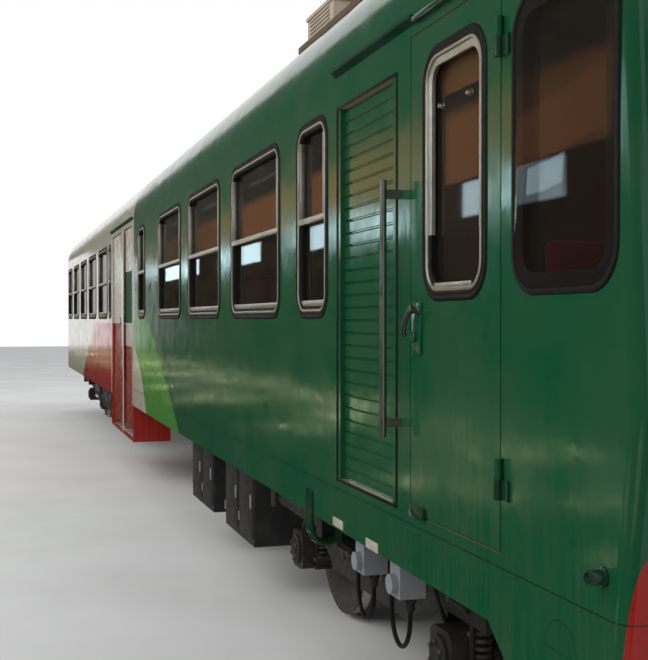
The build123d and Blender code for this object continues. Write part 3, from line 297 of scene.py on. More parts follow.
def aged(paint, colour, dust):
    """The colour with patches, and with dust that gathers low down in streaks."""
    worn = paint.mix(paint.blots(2.2, 5, 0.35, 0.75, 0.0, 0.10), colour, DUST)
    low = paint.fall(paint.z, up(0.75), up(1.9))
    streaks = paint.blots(3.0, 4, 0.42, 0.75, stretch=(9, 9, 0.6))
    return paint.mix(low * streaks * dust, worn, DUST)


def marks(paint):
    """The blank marks on the side: 1 on their lines, 0 elsewhere."""
    near, far, low, high = BLANK_SQUARE
    square = (paint.rectangle(near, far, low, high)
              - paint.rectangle(near + LINE, far - LINE, low + LINE, high - LINE))
    centre_back, foot, radius = BLANK_ARCH
    curve = (paint.within(paint.distance(centre_back, foot), radius - LINE, radius, LINE_EDGE)
             * paint.ramp(paint.height, foot - LINE_EDGE, foot))
    level = paint.rectangle(centre_back - radius, centre_back + radius, foot - LINE, foot)
    seam = paint.within(paint.height, SEAM_HEIGHT - LINE, SEAM_HEIGHT + LINE, LINE_EDGE * 1.5)
    return seam | square | (curve | level)


def livery(name, end_face=None):
    """The coach's outer paint, chosen by place, and a lining on the faces that look inward."""
    paint = Paint(name)
    back, height = paint.back, paint.height
    colour = paint.mix(paint.inside(LIGHT_EDGE), GREEN, LIGHT_GREEN)
    colour = paint.mix(paint.inside(WHITE_EDGE), colour, WHITE)
    past_doors = paint.ramp(back, UPPER_CHANGE - PAINT_EDGE, UPPER_CHANGE + PAINT_EDGE)
    colour = paint.mix(past_doors, colour, WHITE)
    red = paint.inside(RED_EDGE) * paint.ramp(back, UPPER_CHANGE + 0.08, UPPER_CHANGE + 0.09)
    colour = paint.mix(red * paint.fall(height, RED_TOP, RED_TOP + PAINT_EDGE), colour, RED)
    inboard = HALF_WIDTH - abs(paint.y)
    arch = (CAB_RED_TOP - back * CAB_RED_SLOPE - (back | 0.0) ** 2.0 * CAB_RED_CURVE
            + inboard * CAB_RED_RISE)
    cab_red = paint.below(height - arch, 0) * paint.fall(back, CAB_RED_BACK, CAB_RED_BACK + 0.01)
    colour = PALE_GREY if end_face == "rear" else paint.mix(cab_red, colour, RED)
    crown = paint.ramp(height + paint.noise(2, 3) * 0.08, ROOF_EDGE, ROOF_EDGE + 0.04)
    past_cab = paint.ramp(back, CAB_CROWN, CAB_CROWN + 0.02)
    colour = aged(paint, paint.mix(crown * past_cab * 0.9, colour, ROOF_GREY), 0.12)
    if end_face:
        inward = paint.x * paint.nx
    else:
        colour = paint.mix(marks(paint) * 0.75, colour, (0.012, 0.016, 0.010))
        inward = paint.y * paint.ny + (height - WALL_MIDDLE) * paint.nz
    colour = paint.mix(paint.fall(inward, -0.01, 0.0), colour, LINING)
    paint.bump(0.8, (paint.noise(1.4, 1.5, (1.0, 1.0, 1.4)), 0.004),
               (paint.noise(9.0, 2, (1.3, 1.0, 1.0)), 0.0007), (paint.noise(240, 2), 0.00004))
    return paint.finish(colour, (6, 0.07, 0.20), **PAINT_GLOSS)


def enamel(name, colour, dust=0.25):
    """Plain gloss paint, as on the doors and fittings."""
    paint = Paint(name)
    paint.bump(0.8, (paint.noise(3, 2), 0.0011), (paint.noise(260, 2), 0.00005))
    return paint.finish(aged(paint, colour, dust), (8, 0.10, 0.26), **PAINT_GLOSS)


def leaf_paint(name):
    """The entrance leaves: white over a red darkened as painted shade, with a dark-green panel on the
    leaf nearer the cab.
    """
    paint = Paint(name)
    near = paint.fall(paint.back, LEAF_CHANGE, LEAF_CHANGE + 0.01)
    red = paint.below(paint.height - (RED_TOP - near * LEAF_STEP), 0)
    panel = near * paint.within(paint.height, *LEAF_PANEL)
    colour = aged(paint, paint.mix(panel, paint.mix(red, WHITE, SHADED_LEAF_RED), GREEN), 0.3)
    colour = paint.mix(paint.fall(paint.y * paint.ny, -0.02, -0.01), colour, LINING)
    paint.bump(0.8, (paint.noise(2, 2), 0.0012), (paint.noise(240, 2), 0.00005))
    roughness = paint.blots(8, 4, 0.3, 0.8, 0.20, 0.36) | panel * 0.55
    return paint.finish(colour, roughness, IOR=1.45, Specular_IOR_Level=0.2)


def grimy(name, colour, rust=0.3, dust=0.13):
    """Metal below the floor: dark paint, brake dust, rust and oil. For the underframe the dark paint is
    darkened further as painted shade.
    """
    paint = Paint(name)
    blotches = paint.blots(9, 6, 0.40, 0.72)
    shade = paint.mix(blotches * rust, colour, RUST)
    settled = paint.ramp(paint.nz, 0.2, 0.9) * paint.blots(30, 4, 0.3, 0.6)
    shade = paint.mix(settled * dust, shade, DUST)
    shade = paint.mix(paint.blots(60, 5, 0.35, 0.8) * (dust * 0.5), shade, DUST)
    paint.bump(0.9, (paint.noise(80, 5), 0.0012), (blotches, 0.0006))
    return paint.finish(shade, (14, 0.5, 0.85))


def bright(name, colour, rough, scratch=(1, 1, 30)):
    """Bare metal with fine scratches and dull patches."""
    paint = Paint(name)
    shade = paint.mix(paint.blots(12, 5, 0.45, 0.8, 0.0, 0.5), colour, times(colour, 0.55))
    paint.bump(0.7, (paint.noise(120, 3, scratch), 0.0002), (paint.noise(30, 4), 0.0004))
    return paint.finish(shade, (25, *rough), Metallic=1.0)


def rubber(name):
    paint = Paint(name)
    shade = paint.mix(paint.blots(22, 5, 0.45, 0.8, 0.0, 0.30), BLACK_RUBBER, (0.020, 0.014, 0.010))
    paint.bump(0.6, (paint.noise(150, 4), 0.0003))
    return paint.finish(shade, (30, 0.40, 0.62), IOR=1.40, Specular_IOR_Level=0.22)


def glass(name, tint, alpha):
    """Tinted glass that shows the inside dimly, with faint smears."""
    paint = Paint(name)
    smear = paint.blots(4, 5, 0.4, 0.9, 0.0, 0.06, (1, 1, 0.5))
    paint.bump(0.5, (paint.noise(1.5, 2), 0.0008))
    shade = paint.mix(smear, tint, (0.22, 0.19, 0.15))
    return paint.finish(shade, paint.ramp(smear, 0.0, 0.06, 0.01, 0.06), Alpha=alpha, IOR=1.52)


def woven(name, colour, other):
    """Seat cloth: a fine weave with flecks and a soft sheen."""
    paint = Paint(name)
    across = paint.wave(paint.y, WEAVE_PITCH)
    weave = paint.wave(paint.x, WEAVE_PITCH) * across | paint.wave(paint.z, WEAVE_PITCH) * across
    shade = paint.mix(weave * 0.5, colour, times(colour, 0.6))
    shade = paint.mix(paint.fall(paint.cells(90), 0.10, 0.22) * 0.8, shade, other)
    shade = paint.mix(paint.blots(5, 4, 0.45, 0.8, 0.0, 0.25), shade, times(colour, 1.6, 0.02))
    paint.bump(0.9, (weave, 0.0006), (paint.noise(40, 3), 0.001))
    return paint.finish(shade, 0.86, Sheen_Weight=0.35, Sheen_Roughness=0.5)


def moulded(name, colour):
    """Moulded plastic or laminate with a fine grain."""
    paint = Paint(name)
    shade = paint.mix(paint.blots(3, 5, 0.4, 0.8, 0.0, 0.25), colour, times(colour, 0.6))
    paint.bump(0.7, (paint.cells(500), 0.0003), (paint.noise(20, 3), 0.0006))
    return paint.finish(shade, (16, 0.35, 0.6))


def flooring(name):
    """Speckled rubber floor covering, worn along the aisle, with its downward faces near black, partly
    underframe paint and partly painted shade.
    """
    paint = Paint(name)
    speck = paint.fall(paint.cells(140), 0.1, 0.25)
    shade = paint.mix(speck * 0.6, (0.10, 0.095, 0.085), (0.32, 0.30, 0.26))
    shade = paint.mix(paint.within(paint.y, -AISLE_HALF, AISLE_HALF, 0.15) * 0.3, shade, DUST)
    # Downward faces take the underside black: dark underframe paint, partly painted shade
    shade = paint.mix(paint.fall(paint.nz, -0.9, -0.5), shade, UNDERSIDE_BLACK_AND_SHADE)
    paint.bump(0.8, (speck, 0.0006), (paint.noise(80, 3), 0.0005))
    return paint.finish(shade, (12, 0.4, 0.7))


def wheel_metal(name):
    """Wheels: a polished tread band, and dusty, rusty flanks and axle."""
    paint = Paint(name)
    tread = paint.within(abs(paint.y), *TREAD, 0.01) * paint.fall(abs(paint.ny), 0.5, 0.7)
    # The flanks' base is the underside black: dark paint, partly painted shade
    base = paint.mix(paint.blots(12, 6, 0.35, 0.75), UNDERSIDE_BLACK_AND_SHADE, RUST)
    shade = paint.mix(tread, paint.mix(paint.blots(50, 4, 0.4, 0.8, 0.0, 0.5), base, DUST), STEEL)
    paint.bump(0.8, (paint.noise(90, 4), 0.001))
    return paint.finish(shade, 0.75 - tread * 0.5, Metallic=tread)


def cases_paint(name):
    """Underfloor cases: dark and dusty, with the cabinet behind the doors pale grey."""
    paint = Paint(name)
    shade = paint.mix(paint.within(paint.back, *PALE_CABINET, 0.02), (0.010, 0.010, 0.010), PALE_GREY)
    shade = paint.mix(paint.blots(6, 6, 0.45, 0.80, 0.0, 0.16), shade, DUST)
    seam = paint.ramp(paint.wave(paint.x, 0.5), 0.985, 0.998)
    shade = paint.mix(seam * 0.7, shade, (0.01, 0.01, 0.01))
    paint.bump(0.8, (paint.noise(40, 4), 0.001), (seam, -0.004))
    return paint.finish(shade, (14, 0.5, 0.8))


side_livery = livery("side_livery")
front_livery = livery("front_livery", "front")
rear_livery = livery("rear_livery", "rear")
green_enamel = enamel("green_enamel", GREEN)
dark_enamel = enamel("dark_green_enamel", DARK_GREEN, 0.1)
red_enamel = enamel("red_enamel", RED)
leaf_finish = leaf_paint("leaf_finish")
dark_metal = grimy("dark_metal", UNDERSIDE_BLACK_AND_SHADE)
rusty_metal = grimy("rusty_metal", (0.06, 0.045, 0.035), rust=0.7)
grey_metal = grimy("grey_metal", (0.20, 0.21, 0.22), rust=0.08, dust=0.15)
door_grey = grimy("door_grey", PALE_GREY, rust=0.05, dust=0.15)
tan_metal = grimy("tan_metal", TAN, rust=0.1, dust=0.3)
case_finish = cases_paint("case_finish")
steel = bright("hand_steel", (0.62, 0.60, 0.56), (0.16, 0.32))
alloy = bright("window_alloy", ALUMINIUM, (0.30, 0.5), (30, 1, 1))
greased = bright("greased_steel", (0.12, 0.11, 0.10), (0.3, 0.55))
rail_finish = bright("rail_finish", RAIL_METAL, (0.28, 0.48), (1, 1, 6))
black_rubber = rubber("black_rubber_finish")
window_glass = glass("tinted_glass", (0.016, 0.011, 0.008), 0.46)
outer_glass = glass("outer_glass", (0.012, 0.008, 0.006), 0.22)
lamp_glass = glass("lamp_glass", (0.6, 0.6, 0.55), 0.35)
floor_finish = flooring("floor_finish")
lining_finish = moulded("lining_finish", LINING)
blind_finish = moulded("blind_finish", (0.85, 0.34, 0.07))
desk_finish = moulded("desk_finish", DESK_RED)
dark_plastic = moulded("dark_plastic", (0.03, 0.03, 0.03))
seat_cloth = woven("seat_cloth_finish", SEAT_BLUE, (0.16, 0.17, 0.19))
cab_cloth = woven("cab_cloth_finish", (0.55, 0.028, 0.020), (0.70, 0.10, 0.06))
wheel_finish = wheel_metal("wheel_finish")

NODE_FINISHES = {
    side_livery: "side_wall_right side_wall_left roof luggage_shutters",
    front_livery: "front_wall front_apron",
    rear_livery: "rear_wall",
    green_enamel: "cab_door_right cab_door_left",
    dark_enamel: "door_hinges rain_gutters",
    leaf_finish: "entrance_leaf_right_front entrance_leaf_right_rear entrance_leaf_left_front "
                 "entrance_leaf_left_rear",
    red_enamel: "step_wells",
    dark_metal: "underframe headstocks bogie_frame_front bogie_frame_rear axle_boxes_front "
                "axle_boxes_rear body_dampers air_tanks",
    rusty_metal: "brake_gear_front brake_gear_rear",
    case_finish: "equipment_cases",
    grey_metal: "connector_boxes",
    door_grey: "gangway_door_rear",
    tan_metal: "roof_units",
    steel: "luggage_racks cab_door_handle_right cab_door_handle_left",
    rail_finish: "handrails",
    greased: "buffers drawhooks pivot_pins",
    black_rubber: "gangway_bellows",
    window_glass: "window_glass end_screens cab_door_glass_right cab_door_glass_left "
                  "gangway_glass_rear",
    lamp_glass: "lamps",
    floor_finish: "floor",
    lining_finish: "partitions",
    desk_finish: "cab_desk",
    wheel_finish: "wheelset_front_1 wheelset_front_2 wheelset_rear_1 wheelset_rear_2",
}
for finish, names in NODE_FINISHES.items():
    for name in names.split():
        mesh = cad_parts[name].data
        mesh.materials.clear()
        mesh.materials.append(finish)

SMOOTH = radians(40)


class Piece:
    """One mesh gathered from shapes, given where they stand in the frame."""

    def __init__(self, name, finish, body="root", slot=None):
        self.name, self.finish, self.body, self.slot = name, finish, body, slot
        self.mesh = bmesh.new()

    def block(self, low, high, bevel, turn=None):
        """A block with bevelled edges. Turn, if given, is a matrix applied about its middle."""
        low, high = Vector(low), Vector(high)
        size = Matrix.Diagonal((*[abs(part) for part in high - low], 1))
        place = Matrix.Translation((low + high) / 2) @ (turn or Matrix.Identity(4)) @ size
        made = bmesh.ops.create_cube(self.mesh, size=1, matrix=place)["verts"]
        edges = list(dict.fromkeys(edge for vertex in made for edge in vertex.link_edges))
        bmesh.ops.bevel(self.mesh, geom=edges, offset=bevel, segments=2, profile=0.5, affect="EDGES")

    def lump(self, middle, halves, bevel):
        """A block about its middle, with its half sizes."""
        middle, halves = Vector(middle), Vector(halves)
        self.block(middle - halves, middle + halves, bevel)

    def plate(self, side, ends, outs, levels, bevel):
        """A block on a side wall: its two x, its two distances out from the wall and its two z."""
        self.block(*[(x, side * (HALF_WIDTH + out), z) for x, out, z in zip(ends, outs, levels)], bevel)

    def panel(self, side, backs, outs, heights, bevel):
        """A plate given by distances back and heights above the rail."""
        self.plate(side, [*map(along, backs)], outs, [*map(up, heights)], bevel)

    def rows(self, loops, closed=False):
        """Skin a list of loops, each with the same number of points."""
        made = [[self.mesh.verts.new(point) for point in loop] for loop in loops]
        count = len(made[0])
        for first, second in list(zip(made, made[1:])) + ([(made[-1], made[0])] if closed else []):
            for index in range(count):
                after = (index + 1) % count
                self.mesh.faces.new((first[index], first[after], second[after], second[index]))
        if not closed:
            self.mesh.faces.new(list(reversed(made[0])))
            self.mesh.faces.new(made[-1])

    def turned(self, foot, axis, profile, segments=20, closed=False):
        """A shape turned about an axis. The profile lists (distance along the axis, radius)."""
        axis = Vector(axis).normalized()
        side = axis.orthogonal().normalized()
        other = axis.cross(side)
        turns = [2 * pi * step / segments for step in range(segments)]
        self.rows([[Vector(foot) + axis * reach + (side * cos(turn) + other * sin(turn)) * radius
                    for turn in turns] for reach, radius in profile], closed)

    def boss(self, side, back, out, height, profile, segments=20):
        """A turned shape that stands out from a side wall."""
        foot = (along(back), side * (HALF_WIDTH + out), up(height))
        self.turned(foot, (0, side, 0), profile, segments)

    def tube(self, path, radius, segments=10):
        """A round tube along a list of points."""
        path = [Vector(point) for point in path]
        loops = []
        side = None
        for index, point in enumerate(path):
            ahead = (path[min(index + 1, len(path) - 1)] - path[max(index - 1, 0)]).normalized()
            if side is None:
                side = ahead.orthogonal().normalized()
            side = (side - ahead * side.dot(ahead)).normalized()
            other = ahead.cross(side)
            turns = [2 * pi * step / segments for step in range(segments)]
            loops.append([point + (side * cos(turn) + other * sin(turn)) * radius for turn in turns])
        self.rows(loops)

    def done(self):
        """Make the object, shaded smooth except at sharp edges, and let it ride on its body."""
        bmesh.ops.recalc_face_normals(self.mesh, faces=self.mesh.faces)
        data = bpy.data.meshes.new(self.name)
        for edge in self.mesh.edges:
            edge.smooth = len(edge.link_faces) == 2 and edge.calc_face_angle() < SMOOTH
        for face in self.mesh.faces:
            face.smooth = True
        self.mesh.to_mesh(data)
        self.mesh.free()
        data.materials.append(self.finish)
        made = placed(self.name, data)
        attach(made, self.body)
        return made


def solid_boxes(node):
    """The lowest and highest corner of each separate solid in a CAD node."""
    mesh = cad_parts[node].data
    keys = [tuple(round(part, 5) for part in vertex.co) for vertex in mesh.vertices]
    group = {key: key for key in keys}

    def root(key):
        while group[key] != key:
            key = group[key]
        return key

    for face in mesh.polygons:
        first = root(keys[face.vertices[0]])
        for corner in face.vertices[1:]:
            group[root(keys[corner])] = first
    found = {}
    for key in group:
        found.setdefault(root(key), []).append(key)
    return sorted(tuple(Vector([pick(axis) for axis in zip(*corners)]) for pick in (min, max))
                  for corners in found.values())


# Window dressing. Each profile lists (distance in from the window's edge, height off the wall)
WINDOW_RADIUS = 0.15
CORNER_SEGMENTS = 8
RUBBER_WIDTH = 0.040
ALLOY_INSIDE = 0.054
ALLOY_END = 0.075
SLEEVE_DEPTH = 0.03
TRANSOM_HEIGHT = 2.58
TRANSOM_HALF = 0.0175
PROUD = 0.007
CAB_WINDOWS_END = 0.8
RUBBER_PROFILE = [(0.0, 0.0), (0.004, 0.005), (0.012, PROUD), (0.020, 0.0065), (0.023, 0.004),
                  (0.027, 0.004), (0.030, 0.0065), (0.037, 0.006), (RUBBER_WIDTH, 0.003),
                  (RUBBER_WIDTH, -0.004), (0.0, -0.004)]
ALLOY_PROFILE = [(RUBBER_WIDTH, -0.002), (RUBBER_WIDTH, 0.005), (0.042, 0.0065), (0.051, 0.0065),
                 (ALLOY_INSIDE, 0.004), (ALLOY_INSIDE, -0.004), (0.046, -0.004)]
SLEEVE_PROFILE = [(ALLOY_INSIDE, 0.001), (0.066, -0.001), (0.070, -0.005), (ALLOY_END, -0.012),
                  (ALLOY_END, -SLEEVE_DEPTH), (0.058, -SLEEVE_DEPTH), (0.052, -0.006)]
CAB_PROFILE = [(0.0, 0.0), (0.004, 0.006), (0.012, PROUD + 0.0005), (0.020, 0.0065), (0.024, 0.0015),
               (0.060, 0.0015), (ALLOY_END, 0.0005), (ALLOY_END, -SLEEVE_DEPTH), (0.048, -SLEEVE_DEPTH),
               (0.046, -0.004)]
PANE_PROFILE = [(0.022, 0.0020), (0.022, 0.0045), (0.030, 0.0055)]


def rounded(low_x, high_x, low_z, high_z, radius, y):
    """A rounded rectangle on a side wall, as one loop of points."""
    points = []
    middles = [(high_x - radius, high_z - radius), (low_x + radius, high_z - radius),
               (low_x + radius, low_z + radius), (high_x - radius, low_z + radius)]
    for corner, (mid_x, mid_z) in enumerate(middles):
        for step in range(CORNER_SEGMENTS + 1):
            turn = pi / 2 * (corner + step / CORNER_SEGMENTS)
            points.append((mid_x + radius * cos(turn), y, mid_z + radius * sin(turn)))
    return points


def ring(piece, low, high, side, profile, closed=True):
    """A moulding round a window, or a pane over it if it isn't closed."""
    piece.rows([rounded(low.x + inset, high.x - inset, low.z + inset, high.z - inset,
                        max(WINDOW_RADIUS - inset, 0.02), side * (HALF_WIDTH + out))
                for inset, out in profile], closed)


window_rubbers = Piece("window_rubbers", black_rubber, slot="black_rubber")
window_alloys = Piece("window_alloys", alloy, slot="frame_aluminium")
cab_panes = Piece("cab_side_panes", outer_glass, slot="glazing")
for low, high in solid_boxes("window_frames"):
    side = side_of(low)
    if high.x > along(CAB_WINDOWS_END):
        ring(window_rubbers, low, high, side, CAB_PROFILE)
        ring(cab_panes, low, high, side, PANE_PROFILE, closed=False)
        continue
    ring(window_rubbers, low, high, side, RUBBER_PROFILE)
    ring(window_alloys, low, high, side, ALLOY_PROFILE)
    ring(window_rubbers, low, high, side, SLEEVE_PROFILE)
    mid, foot = up(TRANSOM_HEIGHT), low.z + ALLOY_END
    span = (low.x + 0.05, high.x - 0.05)
    window_alloys.plate(side, span, (-SLEEVE_DEPTH, PROUD - 0.001),
                        (mid - TRANSOM_HALF, mid + TRANSOM_HALF), 0.003)
    window_alloys.plate(side, span, (-SLEEVE_DEPTH, -0.004), (foot - 0.004, foot + 0.03), 0.004)
    for edge, way in ((low.x + ALLOY_END, 1), (high.x - ALLOY_END, -1)):
        window_alloys.plate(side, (edge - way * 0.004, edge + way * 0.016), (-SLEEVE_DEPTH, 0.004),
                            (mid, high.z - WINDOW_RADIUS * 0.7), 0.003)
rubbers = window_rubbers.done()
window_alloys.done()
cab_panes.done()
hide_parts("window_frames")

# Droplights of the cab doors, each with an arched upper sash
SASH_FOOT = 2.37
SASH_INSET = 0.042
SASH_SLEEVE = [(0.055, -0.004), (0.075, -0.006), (0.075, -0.034), (0.055, -0.034)]
SASH_ALLOY = [(RUBBER_WIDTH, -0.003), (RUBBER_WIDTH, 0.005), (0.044, 0.0065), (0.052, 0.0065),
              (0.056, 0.003), (0.056, -0.006), (0.046, -0.006)]
UPPER_SASH = [(0.0, 0.0), (0.0, 0.0068), (0.010, 0.0068), (0.014, 0.0), (0.040, -0.006),
              (0.040, -0.02), (0.0, -0.006)]
for name, side in SIDE_NAMES:
    low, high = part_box(f"cab_door_sash_{name}")
    body = f"cab_door_{name}"
    sash_rubber = Piece(f"droplight_rubber_{name}", black_rubber, body, "black_rubber")
    ring(sash_rubber, low, high, side, RUBBER_PROFILE)
    ring(sash_rubber, low, high, side, SASH_SLEEVE)
    rubber_made = sash_rubber.done()
    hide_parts(f"cab_door_sash_{name}")
    sash_alloy = Piece(f"droplight_alloy_{name}", alloy, body, "frame_aluminium")
    ring(sash_alloy, low, high, side, SASH_ALLOY)
    sash_alloy.plate(side, (low.x + 0.13, high.x - 0.13), (-0.004, 0.0045),
                     (low.z + 0.050, low.z + 0.074), 0.002)
    loop = rounded(low.x + SASH_INSET, high.x - SASH_INSET, up(SASH_FOOT) - 0.3, high.z - SASH_INSET,
                   WINDOW_RADIUS - SASH_INSET, side * HALF_WIDTH)
    arch = [Vector(point) for point in loop[:2 * CORNER_SEGMENTS + 2]]
    feet = [Vector((point.x, point.y, up(SASH_FOOT))) for point in (arch[0], arch[-1])]
    arch = [feet[0], *arch, feet[1]]
    centre = (low + high) / 2
    centre.y = 0
    strips = []
    for inset, out in UPPER_SASH:
        strip = []
        for index, point in enumerate(arch):
            ahead = (arch[min(index + 1, len(arch) - 1)] - arch[max(index - 1, 0)]).normalized()
            inward = Vector((-ahead.z, 0, ahead.x))
            if inward.dot(centre - point) < 0:
                inward = -inward
            strip.append(point + inward * inset + Vector((0, side * out, 0)))
        strips.append(strip)
    sash_alloy.rows(list(zip(*strips)))
    sash_alloy.done()

# Seats: each bench carries two padded cushions and two padded backs on moulded shells
PAD_GAP = 0.006
PAD_THICK = 0.11
PAD_VOXEL = 0.024
PAD_SWELL = 0.012
PAD_PRESSURE = 4
CLOTH_FRAMES = 14
CHANNEL_DEPTH = 0.010
CHANNEL_HALF = 0.016
BACK_PAD_LOW = 0.50
BACK_PAD_HIGH = 1.13
BACK_PAD_THICK = 0.075
BACK_LEAN = 0.058
SEAT_HEIGHT = 0.35


def swollen_pad(name, size):
    """A closed pad about the origin: a soft box, blown up a little by cloth pressure."""
    made = bmesh.new()
    bmesh.ops.create_cube(made, size=1, matrix=Matrix.Diagonal((*size, 1)))
    bmesh.ops.bevel(made, geom=list(made.edges), offset=min(size) * 0.38, segments=3, profile=0.6,
                    affect="EDGES")
    data = bpy.data.meshes.new(name)
    made.to_mesh(data)
    made.free()
    pad = placed(name, data)
    remesh = pad.modifiers.new("remesh", "REMESH")
    remesh.mode = "VOXEL"
    remesh.voxel_size = PAD_VOXEL
    before = bpy.data.meshes.new_from_object(pad.evaluated_get(bpy.context.evaluated_depsgraph_get()))
    rest = [vertex.co.copy() for vertex in before.vertices]
    shaped = rest
    pad.modifiers.remove(remesh)
    pad.data = before
    cloth = pad.modifiers.new("cloth", "CLOTH")
    cloth.settings.use_pressure = True
    cloth.settings.uniform_pressure_force = PAD_PRESSURE
    cloth.settings.effector_weights.gravity = 0
    for step in range(1, CLOTH_FRAMES + 1):
        bpy.context.scene.frame_set(step)
    after = pad.evaluated_get(bpy.context.evaluated_depsgraph_get()).to_mesh()
    shaped = []
    for start, vertex in zip(rest, after.vertices):
        move = vertex.co - start
        shaped.append(start + move * min(1.0, PAD_SWELL / max(move.length, 1e-6)))
    faces = [tuple(face.vertices) for face in before.polygons]
    bpy.data.objects.remove(pad)
    bpy.context.scene.frame_set(1)
    return shaped, faces


def channelled_pad(name, size, channels):
    """A swollen pad with sewn channels across its top, at shares of its length."""
    points, faces = swollen_pad(name, size)
    for index, point in enumerate(points):
        share = point.x / size[0]
        depth = sum(CHANNEL_DEPTH * max(0.0, 1 - abs(share - line) * size[0] / CHANNEL_HALF)
                    for line in channels)
        points[index] = Vector((point.x, point.y, point.z - (depth if point.z > 0 else 0.0)))
    return points, faces


class Pads(Piece):
    """Many copies of one pad in one mesh."""

    def add(self, shape, place):
        points, faces = shape
        made = [self.mesh.verts.new(place @ point) for point in points]
        for face in faces:
            self.mesh.faces.new([made[index] for index in face])


def frame_of(origin, ahead, top):
    """A placement whose X runs ahead and whose Z is the pad's own top."""
    ahead, top = Vector(ahead).normalized(), Vector(top).normalized()
    matrix = Matrix((ahead, top.cross(ahead), top)).transposed().to_4x4()
    return Matrix.Translation(origin) @ matrix


def furnish(low, high, facing):
    """Put the pads, shells, legs and grab handle on one bench."""
    def at(reach, y, rise):
        """A place ahead of the bench's back edge and above the floor."""
        return (low.x if facing > 0 else high.x) + facing * reach, y, low.z - SEAT_HEIGHT + rise

    for share in (0.25, 0.75):
        mid_y = low.y + share * (high.y - low.y)
        seat_place = at(0.012 + cushion_size[0] / 2, mid_y, SEAT_HEIGHT + 0.068)
        seat_pads.add(cushion_shape, frame_of(seat_place, (facing, 0, 0.06), (-0.06 * facing, 0, 1)))
        back_place = at(-0.016, mid_y, (BACK_PAD_LOW + BACK_PAD_HIGH) / 2)
        tipped = (-BACK_LEAN * facing, 0, 1), (facing, 0, BACK_LEAN)
        back_pads.add(back_shape, frame_of(back_place, *tipped))
    lean = Matrix.Rotation(-facing * BACK_LEAN, 4, "Y")
    seat_shells.block(at(-0.058, low.y, 0.02), at(-0.022, high.y, 0.50), 0.008)
    seat_shells.block(at(-0.094, low.y, 0.46), at(-0.060, high.y, 1.15), 0.010, lean)
    seat_shells.block(at(0, low.y + 0.01, SEAT_HEIGHT),
                      at(0.43, high.y - 0.01, SEAT_HEIGHT + 0.022), 0.008)
    for foot_y in (low.y + 0.12, high.y - 0.12):
        for reach, rise in ((0.07, SEAT_HEIGHT), (0.36, 0.025)):
            seat_rails.block(at(0.03, foot_y - 0.02, 0), at(reach, foot_y + 0.02, rise), 0.005)
    grab_y = high.y - 0.015 if abs(high.y) < abs(low.y) else low.y + 0.015
    seat_rails.tube([at(reach, grab_y, BACK_PAD_HIGH - drop) for reach, drop in GRAB_HANDLE], 0.011, 8)


GRAB_HANDLE = ((-0.03, 0.19), (-0.035, 0.05), (-0.06, 0.01), (-0.10, 0.02), (-0.115, 0.07))
benches = []
backs = solid_boxes("seat_backs")
for low, high in solid_boxes("seat_cushions"):
    middle = (low + high) / 2
    behind = min(backs, key=lambda pair: ((pair[0] + pair[1]) / 2 - middle).length)
    benches.append((low, high, 1 if (behind[0].x + behind[1].x) / 2 < middle.x else -1))
bench_low, bench_high, _ = benches[0]
pad_width = (bench_high.y - bench_low.y) / 2 - PAD_GAP - 2 * PAD_SWELL
cushion_size = (bench_high.x - bench_low.x - 0.02, pad_width, PAD_THICK)
back_size = (BACK_PAD_HIGH - BACK_PAD_LOW, pad_width, BACK_PAD_THICK)
cushion_shape = channelled_pad("cushion_form", cushion_size, (-0.18, 0.22))
back_shape = channelled_pad("back_form", back_size, (-0.2, 0.1, 0.3))
seat_pads = Pads("seat_cushion_pads", seat_cloth, slot="seat_cloth")
back_pads = Pads("seat_back_pads", seat_cloth, slot="seat_cloth")
seat_shells = Piece("seat_shells", dark_plastic, slot="desk_plastic")
seat_rails = Piece("seat_rails", steel, slot="rail_steel")
for low, high, facing in benches:
    furnish(low, high, facing)
pads_made = seat_pads.done()
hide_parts("seat_cushions")
backs_made = back_pads.done()
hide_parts("seat_backs")
seat_shells.done()
seat_rails.done()

# Cab seats: pedestal, pan, two pads and armrests each
CAB_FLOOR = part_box("floor")[1].z
PAN_HEIGHT = 0.42
PEDESTAL = [(0, 0.19), (0.02, 0.19), (0.035, 0.10), (0.06, 0.055), (0.24, 0.055), (0.25, 0.075),
            (0.33, 0.075), (0.36, 0.045), (0.40, 0.045)]
ARMREST = ((0.03, 0.24), (0.06, 0.26), (0.30, 0.26), (0.34, 0.25))
cab_pad = channelled_pad("cab_cushion_form", (0.44, 0.43, 0.10), (-0.15, 0.2))
cab_back_pad = channelled_pad("cab_back_form", (0.62, 0.43, 0.09), (-0.25, 0.05, 0.3))
cab_pads = Pads("cab_seat_pads", cab_cloth, slot="seat_cloth")
cab_frames = Piece("cab_seat_frames", dark_plastic, slot="desk_plastic")
for low, high in solid_boxes("cab_seats"):
    mid_x, mid_y = (low.x + high.x) / 2, (low.y + high.y) / 2
    pan = CAB_FLOOR + PAN_HEIGHT
    cab_frames.turned((mid_x, mid_y, CAB_FLOOR), (0, 0, 1), PEDESTAL)
    cab_frames.block((low.x + 0.03, low.y + 0.01, pan - 0.03),
                     (high.x - 0.01, high.y - 0.01, pan), 0.01)
    cab_frames.block((low.x, low.y + 0.02, pan - 0.01),
                     (low.x + 0.03, high.y - 0.02, low.z + 1.13), 0.01)
    for edge in (low.y + 0.012, high.y - 0.012):
        cab_frames.tube([(low.x + reach, edge, pan + rise) for reach, rise in ARMREST], 0.016, 8)
    cab_pads.add(cab_pad, Matrix.Translation((mid_x + 0.005, mid_y, pan + 0.055)))
    cab_pads.add(cab_back_pad, frame_of((low.x + 0.075, mid_y, pan + 0.42), (0, 0, 1), (1, 0, 0)))
cab_pads_made = cab_pads.done()
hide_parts("cab_seats")
cab_frames.done()

